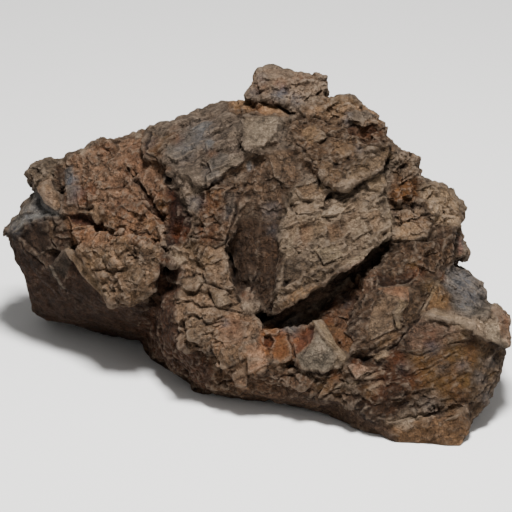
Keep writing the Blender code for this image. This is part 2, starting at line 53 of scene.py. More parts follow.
# Patches of the near side, later ones over earlier ones. The outline is on the paper. The tone is sRGB,
# crumbs and layers are how strongly the skin is broken, and grain is the way the layers run on the paper.
patches = {
    "leftTipLow": {
        "outline": [(0, 234), (22, 222), (57, 215), (68, 240), (62, 250), (45, 266), (14, 252)],
        # Dark tone partly the stone's own, partly painted shade on the tip's underside
        "tone": (78, 60, 47), "crumbs": 0.4, "layers": 0.3, "grain": (0.3, 1.0),
    },
    "leftUnderside": {
        "outline": [(0, 238), (45, 266), (62, 249), (75, 253), (106, 304), (150, 300), (140, 345), (20, 330)],
        # Dark tone partly soil brown and partly painted shade under the overhanging left end
        "tone": (72, 52, 39), "crumbs": 0.2, "layers": 0.08, "grain": (0.65, 0.76),
    },
    "leftTipTop": {
        "outline": [(0, 232), (18, 208), (34, 185), (58, 200), (58, 214), (22, 221)],
        # Grey-blue tone on faces that turn up: partly painted sky sheen
        "tone": (137, 132, 126), "crumbs": 0.3, "layers": 0.3, "grain": (0.8, -0.6),
    },
    "leftKnob": {
        "outline": [(24, 172), (31, 163), (44, 154), (60, 156), (61, 190), (48, 182), (34, 189)],
        "tone": (104, 92, 78), "crumbs": 0.8, "layers": 0.0,
    },
    "tanFin": {
        "outline": [(37, 184), (46, 178), (60, 204), (53, 213), (40, 202)],
        "tone": (129, 105, 84), "crumbs": 0.5, "layers": 0.3, "grain": (0.4, 0.9),
    },
    "bodyTop": {
        "outline": [
            (60, 160), (78, 146), (100, 136), (142, 128),
            (146, 150), (172, 166), (166, 206), (62, 212),
        ],
        "tone": (136, 107, 85), "crumbs": 0.6, "layers": 0.5, "grain": (0.15, 1.0),
    },
    "bodyMiddle": {
        "outline": [(60, 212), (168, 205), (164, 246), (72, 246)],
        "tone": (149, 114, 87), "crumbs": 0.7, "layers": 0.0,
    },
    "bodyLow": {
        "outline": [(72, 245), (164, 245), (162, 275), (148, 300), (108, 304), (84, 272)],
        "tone": (140, 115, 92), "crumbs": 0.7, "layers": 0.0,
    },
    "grooveFloor": {
        "outline": [(168, 186), (186, 195), (195, 218), (187, 246), (167, 246)],
        # Dark tone: rust-red stone, with painted shade deep in the groove
        "tone": (63, 37, 25), "crumbs": 0.2, "layers": 0.0,
    },
    "band": {
        "outline": [
            (162, 248), (171, 262), (186, 274), (176, 300), (180, 346), (202, 350), (214, 372),
            (212, 396), (180, 380), (136, 345), (136, 330), (152, 300),
        ],
        # Dark tone partly painted shade: this face turns down and lies in shade
        "tone": (86, 60, 44), "crumbs": 0.45, "layers": 0.0,
    },
    "grey": {
        "outline": [
            (142, 155), (147, 128), (160, 122), (200, 109), (236, 94), (258, 104), (284, 116),
            (280, 140), (262, 150), (238, 164), (205, 187), (172, 167), (158, 158),
        ],
        "tone": (116, 103, 91), "crumbs": 0.3, "layers": 1.2, "grain": (0.82, -0.57),
    },
    "greyFlake": {
        "outline": [(176, 168), (204, 168), (206, 188), (200, 214), (187, 212), (176, 190)],
        "tone": (132, 118, 104), "crumbs": 0.4, "layers": 0.3, "grain": (0.1, 1.0),
    },
    "palePlate": {
        "outline": [(241, 117), (256, 112), (277, 114), (282, 122), (276, 138), (264, 150), (243, 151)],
        "tone": (128, 116, 102), "crumbs": 0.3, "layers": 0.3, "grain": (0.7, -0.7),
    },
    "capCrest": {
        "outline": [(228, 98), (250, 94), (290, 104), (286, 116), (258, 112), (230, 111)],
        "tone": (160, 127, 96), "crumbs": 0.7, "layers": 0.2, "grain": (1.0, 0.1),
    },
    "knob": {
        "outline": [(244, 99), (252, 72), (264, 64), (318, 70), (330, 80), (328, 99), (300, 112), (280, 102)],
        "tone": (140, 120, 102), "crumbs": 0.7, "layers": 0.0,
    },
    "lens": {
        "outline": [
            (286, 122), (300, 112), (330, 94), (362, 102), (382, 118), (396, 142), (394, 156),
            (370, 172), (344, 194), (324, 186), (312, 164), (296, 148),
        ],
        "tone": (103, 82, 63), "crumbs": 0.85, "layers": 0.45, "grain": (0.85, -0.5),
    },
    "lensTop": {
        "outline": [(302, 112), (330, 94), (362, 102), (382, 118), (380, 127), (340, 121), (308, 119)],
        "tone": (144, 117, 92), "crumbs": 0.9, "layers": 0.3, "grain": (0.85, -0.3),
    },
    "lensEdge": {
        "outline": [(325, 184), (345, 172), (362, 150), (388, 142), (394, 154), (370, 170), (344, 194)],
        "tone": (101, 83, 64), "crumbs": 0.7, "layers": 0.5, "grain": (0.8, -0.55),
    },
    "greyLump": {
        "outline": [(391, 158), (405, 151), (416, 157), (423, 172), (402, 180), (394, 174)],
        "tone": (127, 107, 87), "crumbs": 1.0, "layers": 0.0,
    },
    "orangeLumps": {
        "outline": [(387, 190), (398, 177), (422, 181), (422, 196), (404, 204), (390, 204)],
        "tone": (112, 74, 40), "crumbs": 0.7, "layers": 0.0,
    },
    "rightTop": {
        "outline": [(422, 184), (438, 182), (466, 206), (460, 228), (428, 224), (424, 200)],
        "tone": (169, 146, 120), "crumbs": 0.7, "layers": 0.4, "grain": (0.7, 0.7),
    },
    "rightMiddle": {
        "outline": [(394, 204), (426, 202), (430, 226), (426, 241), (392, 241)],
        "tone": (129, 106, 84), "crumbs": 1.0, "layers": 0.0,
    },
    "rightLow": {
        "outline": [(378, 262), (393, 242), (427, 241), (456, 228), (458, 262), (436, 280), (380, 286)],
        "tone": (93, 72, 54), "crumbs": 0.8, "layers": 0.4, "grain": (0.3, 1.0),
    },
    "armWall": {
        "outline": [(322, 308), (366, 268), (378, 270), (376, 290), (356, 300), (345, 345), (335, 336)],
        "tone": (112, 82, 61), "crumbs": 0.7, "layers": 0.3, "grain": (0.75, -0.65),
    },
    "armFace": {
        "outline": [
            (345, 357), (342, 346), (356, 298), (378, 286),
            (404, 285), (406, 302), (398, 328), (370, 345),
        ],
        "tone": (84, 66, 51), "crumbs": 0.6, "layers": 0.3, "grain": (0.75, -0.65),
    },
    "armWedge": {
        "outline": [(380, 288), (404, 287), (405, 302), (396, 325), (392, 308)],
        # Light tone partly painted light: this face turns up and catches it
        "tone": (144, 128, 107), "crumbs": 0.3, "layers": 0.2, "grain": (0.5, 0.8),
    },
    "armEdge": {
        "outline": [(404, 302), (412, 284), (438, 278), (421, 311), (402, 330)],
        "tone": (88, 70, 53), "crumbs": 0.4, "layers": 0.4, "grain": (0.5, -0.8),
    },
    "buttressTop": {
        "outline": [(204, 188), (222, 184), (248, 188), (239, 214), (227, 244), (196, 246), (198, 214)],
        "tone": (108, 84, 65), "crumbs": 0.85, "layers": 0.4, "grain": (-0.2, 1.0),
    },
    "buttress": {
        "outline": [
            (182, 244), (228, 244), (226, 266), (238, 292), (246, 312), (222, 344), (196, 350),
            (180, 338), (174, 300), (190, 276), (170, 262),
        ],
        "tone": (135, 112, 91), "crumbs": 0.8, "layers": 0.0,
    },
    "recessTop": {
        "outline": [(246, 168), (262, 152), (290, 148), (302, 186), (288, 210), (278, 222), (250, 215)],
        "tone": (100, 80, 63), "crumbs": 0.7, "layers": 0.4, "grain": (-0.1, 1.0),
    },
    "recess": {
        "outline": [(240, 216), (276, 222), (286, 262), (280, 300), (262, 314), (238, 298), (226, 246)],
        # Dark tone partly painted shade, which sets the recess dark against the slab
        "tone": (76, 58, 44), "crumbs": 0.25, "layers": 0.3, "grain": (-0.1, 1.0),
    },
    "paleChip": {
        "outline": [(239, 304), (247, 289), (264, 306), (252, 317)],
        "tone": (132, 115, 100), "crumbs": 0.2, "layers": 0.0,
    },
    "slab": {
        "outline": [
            (286, 196), (300, 185), (316, 179), (342, 194), (372, 171), (382, 172), (388, 200),
            (393, 222), (391, 236), (374, 246), (346, 266), (302, 300), (272, 310), (286, 262), (276, 236),
        ],
        "tone": (142, 125, 106), "crumbs": 0.5, "layers": 0.9, "grain": (0.86, -0.51),
    },
    "slabLow": {
        "outline": [(284, 262), (346, 262), (322, 286), (300, 300), (276, 308)],
        "tone": (120, 103, 85), "crumbs": 0.5, "layers": 1.0, "grain": (0.86, -0.51),
    },
    "slabEdge": {
        "outline": [
            (393, 238), (374, 246), (346, 267), (302, 300),
            (275, 309), (276, 326), (330, 292), (372, 262),
        ],
        "tone": (130, 106, 90), "crumbs": 0.3, "layers": 0.6, "grain": (0.86, -0.51),
    },
    "pinkBlock": {
        "outline": [(214, 324), (228, 312), (258, 318), (258, 332), (244, 346), (246, 373), (215, 370)],
        "tone": (144, 115, 91), "crumbs": 0.7, "layers": 0.0,
    },
    "orangeBlock": {
        "outline": [(260, 332), (270, 325), (292, 334), (294, 360), (262, 356)],
        "tone": (150, 104, 68), "crumbs": 0.3, "layers": 0.0,
    },
    "rustBlock": {
        "outline": [(290, 336), (313, 324), (309, 346), (295, 360)],
        "tone": (136, 94, 68), "crumbs": 0.3, "layers": 0.2, "grain": (0.2, 1.0),
    },
    "greyBlock": {
        "outline": [(298, 352), (318, 343), (343, 357), (336, 369), (302, 369)],
        "tone": (124, 109, 92), "crumbs": 0.4, "layers": 0.0,
    },
    "paleRidge": {
        "outline": [(313, 322), (322, 321), (343, 356), (334, 357)],
        "tone": (120, 98, 73), "crumbs": 0.2, "layers": 0.2, "grain": (0.5, 0.86),
    },
    "litCube": {
        "outline": [(246, 346), (258, 347), (266, 358), (266, 366), (250, 374), (244, 362)],
        "tone": (152, 120, 92), "crumbs": 0.4, "layers": 0.0,
    },
    "middleFoot": {
        "outline": [(214, 372), (302, 370), (314, 380), (310, 394), (290, 400), (210, 400)],
        "tone": (102, 78, 59), "crumbs": 0.8, "layers": 0.0,
    },
    "ledgeStones": {
        "outline": [(314, 386), (332, 372), (356, 360), (404, 372), (404, 398), (342, 404)],
        "tone": (106, 83, 62), "crumbs": 0.9, "layers": 0.4, "grain": (0.95, -0.3),
    },
    "frontBrown": {
        "outline": [(345, 358), (372, 345), (402, 330), (412, 345), (420, 398), (386, 420), (350, 404)],
        "tone": (64, 44, 28), "crumbs": 0.5, "layers": 0.5, "grain": (0.93, -0.37),
    },
    "frontPurple": {
        "outline": [(404, 330), (420, 313), (468, 326), (470, 342), (440, 350), (408, 354)],
        "tone": (112, 90, 75), "crumbs": 0.5, "layers": 0.5, "grain": (0.93, -0.2),
    },
    "frontOchre": {
        "outline": [(410, 352), (440, 348), (470, 340), (484, 342), (474, 398), (418, 400)],
        "tone": (102, 74, 47), "crumbs": 0.45, "layers": 0.5, "grain": (0.85, -0.5),
    },
    "frontDark": {
        "outline": [(476, 344), (510, 350), (502, 380), (486, 408), (470, 418), (466, 396)],
        "tone": (98, 80, 63), "crumbs": 0.5, "layers": 0.45, "grain": (0.7, -0.7),
    },
    "toe": {
        "outline": [(384, 421), (425, 411), (458, 406), (476, 426), (462, 446), (398, 444)],
        "tone": (126, 98, 72), "crumbs": 0.3, "layers": 0.25, "grain": (0.93, -0.37),
    },
    "blueTop": {
        "outline": [(436, 280), (456, 264), (474, 268), (490, 290), (492, 306), (468, 317), (446, 314)],
        # Grey-blue tone on faces that turn up: partly painted sky sheen
        "tone": (122, 114, 107), "crumbs": 0.4, "layers": 0.9, "grain": (0.9, 0.4),
    },
    "ochreTop": {
        "outline": [(437, 281), (450, 296), (448, 313), (422, 311)],
        "tone": (136, 106, 76), "crumbs": 0.3, "layers": 0.4, "grain": (0.5, -0.86),
    },
    "creamLedge": {
        "outline": [
            (421, 312), (448, 314), (468, 317), (490, 306), (506, 307), (512, 322), (511, 350),
            (498, 344), (470, 327), (448, 319), (424, 320),
        ],
        "tone": (172, 152, 130), "crumbs": 0.9, "layers": 0.3, "grain": (0.95, 0.3),
    },
    "bottomDark": {
        "outline": [(206, 394), (290, 393), (330, 402), (386, 424), (400, 450), (200, 450)],
        "tone": (102, 82, 68), "crumbs": 0.15, "layers": 0.1, "grain": (1.0, 0.3),
    },
}

# Cracks: half the width and the depth, in steps, and the line on the paper
cracks = {
    "body": (2.5, 8, [(127, 168), (131, 175), (138, 183), (145, 192), (150, 201), (158, 212), (163, 220)]),
    "bodyBranch": (2, 5, [(145, 192), (140, 203), (147, 209), (158, 212)]),
    "bodyLedge": (3, 6, [(66, 217), (78, 216), (86, 222), (97, 228), (108, 218)]),
    "bodyRow": (2.5, 6, [(68, 229), (90, 228), (107, 229), (112, 234), (124, 235)]),
    "bodySeam": (2, 4, [(92, 247), (110, 246), (125, 243), (140, 247), (152, 244), (163, 248)]),
    "bodyLower": (1.5, 3, [(90, 270), (110, 271), (128, 269), (142, 269)]),
    "bodySplit": (1.5, 3, [(133, 247), (137, 258), (142, 266), (146, 280)]),
    "bodyNick": (2, 5, [(92, 182), (88, 192), (84, 205), (87, 216)]),
    "bodyTopRow": (2, 4, [(99, 199), (112, 198), (124, 196), (135, 201)]),
    "knobLeft": (2, 5, [(52, 166), (57, 176), (58, 188), (62, 198)]),
    "tipTop": (2, 5, [(20, 222), (34, 218), (46, 213), (56, 212)]),
    "tipFace": (1.5, 4, [(56, 216), (52, 228), (47, 240), (52, 248)]),
    "capLeft": (2.5, 6, [(148, 131), (144, 142), (147, 153), (156, 158)]),
    "capFold": (2, 4, [(160, 150), (170, 142), (186, 134), (205, 124)]),
    "capFold2": (1.5, 3, [(172, 160), (190, 148), (204, 136), (210, 124)]),
    "capFold3": (1.5, 3, [(186, 168), (206, 150), (216, 138), (222, 122)]),
    "capSplit": (1.5, 4, [(238, 100), (240, 112), (243, 124), (240, 138), (236, 150)]),
    "capRim": (2, 4, [(222, 112), (238, 112), (256, 113), (278, 116)]),
    "knobFoot": (3, 7, [(258, 101), (272, 102), (284, 108), (300, 114), (288, 124)]),
    "knobFace": (1.5, 4, [(256, 92), (268, 88), (284, 90), (298, 84), (312, 86)]),
    "lensRim": (2, 5, [(300, 116), (316, 117), (330, 121), (338, 121)]),
    "lensHole": (3, 6, [(338, 122), (339, 127)]),
    "lensFold": (2, 4, [(344, 130), (356, 124), (368, 121), (380, 128)]),
    "lensFold2": (1.5, 4, [(318, 128), (330, 137), (344, 140), (356, 134)]),
    "lensLow": (1.5, 4, [(296, 144), (306, 154), (318, 161), (330, 168), (340, 170)]),
    "lensLow2": (2, 5, [(358, 152), (372, 147), (388, 150)]),
    "slabUnderLens": (2.2, 6, [(326, 188), (340, 194), (352, 190), (366, 180), (380, 170), (390, 160)]),
    "slabLeft": (1.5, 3, [(287, 193), (288, 203), (292, 211), (300, 217), (312, 213)]),
    "slabRight": (2.5, 6, [(331, 193), (326, 203), (322, 212), (313, 220), (304, 228)]),
    "slabCut": (1.2, 2.5, [(322, 218), (336, 218), (350, 213), (358, 209)]),
    "slabRow": (1.2, 2.5, [(282, 230), (300, 226), (322, 222), (348, 224), (372, 216)]),
    "slabRow2": (1.2, 2.5, [(284, 250), (300, 246), (318, 248), (338, 243), (356, 246), (372, 240)]),
    "slabRow3": (1, 1.5, [(287, 268), (306, 262), (326, 262), (344, 256)]),
    "slabSliver": (2.5, 7, [(262, 318), (272, 300), (284, 286), (292, 278)]),
    "slabCorner": (1.5, 4, [(362, 184), (370, 178), (380, 182), (386, 192)]),
    "rightPit": (5, 9, [(404, 207), (416, 206), (424, 208)]),
    "rightPitSide": (2.5, 6, [(424, 208), (428, 222), (429, 240)]),
    "rightRow": (2, 5, [(394, 243), (412, 241), (428, 240), (444, 234), (456, 229)]),
    "rightSplit": (1.5, 4, [(408, 222), (406, 232), (410, 242)]),
    "armFold": (2, 5, [(378, 284), (390, 286), (402, 284), (412, 278), (414, 270)]),
    "armSplit": (2, 5, [(372, 262), (374, 274), (372, 290)]),
    "wedgeLine": (1, 2, [(386, 290), (394, 298), (402, 306)]),
    "armOuter": (2, 5, [(436, 280), (424, 304), (414, 318), (404, 332), (396, 344), (380, 352), (352, 362)]),
    "armRidge": (1.5, 3, [(402, 326), (390, 333), (370, 344), (347, 358)]),
    "recessSplit": (1.5, 4, [(258, 268), (254, 280), (250, 292)]),
    "recessSide": (
        2.5, 7, [(246, 186), (240, 200), (236, 214), (228, 232), (226, 246), (234, 270), (238, 298)],
    ),
    "recessCrown": (1.5, 3, [(262, 152), (274, 156), (282, 166), (282, 186), (290, 206)]),
    "flakeSide": (2.5, 7, [(206, 187), (203, 200), (196, 216), (193, 238)]),
    "flakeLow": (2.5, 5, [(186, 212), (193, 216), (197, 218)]),
    "buttressRow": (2, 5, [(184, 246), (196, 238), (208, 236), (222, 240)]),
    "buttressRow2": (2, 6, [(186, 276), (200, 272), (206, 284), (220, 288), (232, 292)]),
    "buttressRow3": (2, 6, [(176, 302), (192, 300), (202, 308), (218, 306), (240, 312)]),
    "buttressRow4": (2, 6, [(182, 322), (196, 316), (206, 326), (222, 322), (224, 334)]),
    "buttressSplit": (2, 5, [(205, 246), (200, 260), (206, 272)]),
    "pinkSide": (2, 5, [(214, 322), (224, 316), (224, 330), (212, 340), (214, 372)]),
    "pinkFold": (1.5, 3, [(258, 330), (246, 338), (240, 346), (246, 356), (250, 374)]),
    "pinkLow": (2, 5, [(214, 368), (226, 368), (240, 362), (248, 358)]),
    "blockHole": (3, 6, [(264, 344), (268, 350)]),
    "orangeSide": (2, 6, [(288, 334), (292, 346), (294, 362)]),
    "rustSide": (2, 5, [(312, 326), (308, 344), (296, 358)]),
    "greyUnder": (2.5, 6, [(292, 366), (306, 370), (326, 372), (340, 364)]),
    "ledgeOne": (2, 5, [(336, 386), (350, 381), (366, 380), (380, 378)]),
    "ledgeTwo": (2, 5, [(352, 379), (366, 374), (382, 369)]),
    "ledgeThree": (2, 5, [(340, 366), (338, 376), (348, 380)]),
    "ledgeFour": (2, 5, [(312, 396), (322, 386), (334, 374)]),
    "footRow": (2, 5, [(216, 386), (232, 380), (248, 374), (262, 378), (280, 374), (300, 372)]),
    "toeRow": (1.2, 2.5, [(382, 424), (396, 420), (412, 416), (428, 412)]),
    "toeRow2": (1, 2, [(440, 418), (450, 410), (458, 404), (450, 398), (428, 400), (404, 398)]),
    "frontRow": (1.5, 4, [(404, 352), (420, 352), (440, 344), (462, 338)]),
    "frontRow2": (1.5, 3, [(380, 384), (404, 374), (430, 366), (452, 352)]),
    "frontRow3": (1.5, 3, [(384, 400), (410, 392), (436, 386), (462, 372)]),
    "frontRow4": (1.5, 3, [(470, 398), (482, 384), (496, 366)]),
    "creamUnder": (
        2, 4, [(426, 322), (446, 320), (458, 323), (468, 330), (480, 338), (496, 340), (504, 350)],
    ),
    "blueRow": (1.5, 3, [(450, 270), (462, 275), (474, 282), (485, 291)]),
    "blueRow2": (1.5, 3, [(446, 284), (459, 290), (470, 296), (484, 301)]),
    "blueRow3": (1.5, 3, [(449, 299), (462, 304), (474, 307), (488, 304)]),
    "creamSplit": (1.5, 3, [(470, 318), (476, 328), (486, 334), (497, 338)]),
    "tipCrease": (1.5, 3, [(12, 240), (30, 257), (46, 273), (62, 293)]),
    "creamNick": (1.5, 4, [(489, 307), (491, 317)]),
    "creamCross": (1.5, 4, [(457, 315), (461, 323), (459, 331)]),
    "creamCross2": (1.5, 3, [(475, 317), (471, 326), (475, 335)]),
    "finFoot": (2.2, 6, [(49, 216), (57, 209), (66, 202)]),
}

# Spots of colour (grey-blue partly painted sky sheen, cream partly painted highlights): the middle on the
# paper, the reach in steps and the strength
stains = {
    "rust": [
        (179, 233, 9, 0.9), (160, 200, 12, 0.7), (150, 203, 9, 0.8), (80, 196, 12, 0.9), (88, 190, 8, 0.9),
        (104, 146, 7, 0.6), (140, 160, 22, 0.35), (160, 216, 10, 0.7),
        (120, 215, 26, 0.3), (76, 236, 10, 0.3),
        (155, 148, 9, 0.6), (176, 136, 9, 0.6), (212, 152, 6, 0.5), (258, 106, 6, 0.5), (272, 102, 4, 0.7),
        (262, 86, 8, 0.5), (280, 84, 9, 0.6), (298, 78, 8, 0.4), (210, 205, 14, 0.5), (206, 236, 12, 0.6),
        (372, 134, 9, 0.45), (404, 186, 12, 0.45), (300, 235, 12, 0.35),
        (345, 226, 20, 0.25), (272, 340, 12, 0.8), (282, 348, 10, 0.8),
        (268, 344, 5, 1.0), (304, 332, 8, 0.8),
        (300, 344, 7, 0.7), (326, 318, 7, 0.8), (344, 342, 7, 0.6), (338, 336, 6, 0.5), (416, 272, 9, 0.7),
        (440, 276, 6, 0.8), (396, 356, 8, 0.7), (380, 382, 18, 0.45), (412, 376, 14, 0.5), (356, 362, 5, 0.6),
        (428, 338, 9, 0.5), (334, 374, 8, 0.6), (248, 296, 6, 0.6), (508, 322, 6, 0.5), (446, 384, 12, 0.4),
        (392, 290, 8, 0.35), (232, 326, 12, 0.4), (420, 226, 8, 0.3), (322, 200, 9, 0.3),
    ],
    "ochre": [
        (404, 188, 12, 0.5), (158, 146, 8, 0.5), (170, 138, 8, 0.6),
        (152, 154, 6, 0.6), (160, 204, 7, 0.6), (92, 262, 10, 0.5),
        (196, 250, 14, 0.5), (206, 262, 10, 0.5), (244, 104, 9, 0.5), (330, 110, 16, 0.3), (352, 102, 8, 0.5),
        (412, 264, 5, 0.7), (430, 286, 9, 0.7), (440, 300, 9, 0.7), (456, 290, 5, 0.5), (452, 352, 14, 0.9),
        (440, 384, 18, 0.9), (462, 380, 14, 0.9), (430, 372, 16, 0.7),
        (474, 360, 12, 0.6), (416, 358, 12, 0.6),
        (486, 372, 7, 0.5), (444, 395, 14, 0.6), (366, 388, 8, 0.5), (420, 392, 12, 0.4), (318, 322, 5, 0.6),
        (300, 292, 8, 0.4), (396, 240, 6, 0.3), (322, 384, 8, 0.5), (460, 330, 6, 0.5), (500, 330, 8, 0.3),
    ],
    # Grey-blue spots sit on faces that turn up: the stone's grey-blue, partly painted sky sheen
    "blueAndSheen": [
        (70, 178, 8, 0.8), (74, 192, 7, 0.6), (42, 206, 12, 0.6), (24, 216, 9, 0.6), (10, 230, 8, 0.7),
        (34, 196, 6, 0.6), (150, 142, 7, 0.5), (200, 134, 16, 0.5), (184, 150, 14, 0.4), (206, 146, 5, 0.7),
        (212, 176, 8, 0.5), (196, 204, 9, 0.6), (228, 214, 8, 0.4), (262, 78, 7, 0.4), (254, 92, 7, 0.5),
        (280, 94, 10, 1.0), (296, 98, 8, 0.7), (250, 168, 4, 0.8), (348, 114, 4, 0.7), (346, 121, 4, 0.8),
        (358, 150, 5, 0.5), (274, 212, 10, 0.5), (274, 232, 8, 0.4), (462, 282, 14, 0.9), (472, 296, 12, 0.8),
        (460, 306, 8, 0.7), (452, 272, 7, 0.6), (430, 346, 8, 0.6), (458, 364, 7, 0.6), (440, 366, 7, 0.4),
        (476, 376, 8, 0.5), (486, 362, 7, 0.4), (428, 402, 14, 0.4), (346, 300, 7, 0.4), (292, 326, 9, 0.6),
        (460, 244, 7, 0.5), (402, 366, 7, 0.3), (484, 394, 9, 0.4), (226, 322, 4, 0.6), (396, 212, 5, 0.3),
    ],
    # Cream spots, partly pale stone and partly painted highlights on rims and points that catch the light
    "creamAndHighlight": [
        (80, 148, 5, 0.9), (134, 132, 5, 0.8), (60, 160, 5, 0.6), (100, 262, 6, 0.5), (134, 284, 7, 0.4),
        (144, 294, 6, 0.5), (180, 258, 7, 0.7), (200, 282, 6, 0.6), (224, 298, 8, 0.6), (194, 238, 4, 0.7),
        (234, 134, 5, 0.7), (266, 142, 7, 0.6), (312, 98, 7, 0.6), (320, 86, 5, 0.5), (248, 306, 7, 0.7),
        (258, 314, 4, 0.9), (335, 211, 11, 0.8), (300, 210, 9, 0.6), (318, 202, 8, 0.5), (386, 224, 7, 0.7),
        (372, 250, 7, 0.7), (284, 234, 6, 0.7), (306, 252, 5, 0.5), (346, 248, 8, 0.4), (376, 182, 8, 0.4),
        (394, 232, 6, 0.5), (414, 234, 7, 0.4), (394, 318, 5, 0.7), (390, 294, 6, 0.4), (384, 350, 4, 0.7),
        (346, 384, 7, 0.7), (364, 374, 7, 0.7), (372, 384, 6, 0.6), (322, 334, 5, 0.7), (320, 346, 6, 0.7),
        (336, 352, 5, 0.7), (404, 417, 10, 0.9), (420, 413, 6, 0.8), (388, 418, 4, 0.9), (456, 408, 5, 0.7),
        (478, 330, 10, 0.7), (452, 317, 10, 0.8), (430, 316, 8, 0.6), (496, 312, 6, 0.6), (504, 340, 6, 0.6),
        (256, 358, 6, 0.5), (242, 372, 6, 0.4), (218, 366, 6, 0.4), (448, 212, 8, 0.4), (436, 232, 7, 0.4),
        (368, 160, 8, 0.4), (348, 178, 7, 0.4), (440, 292, 3, 0.5), (424, 304, 3, 0.7), (436, 284, 3, 0.7),
    ],
}

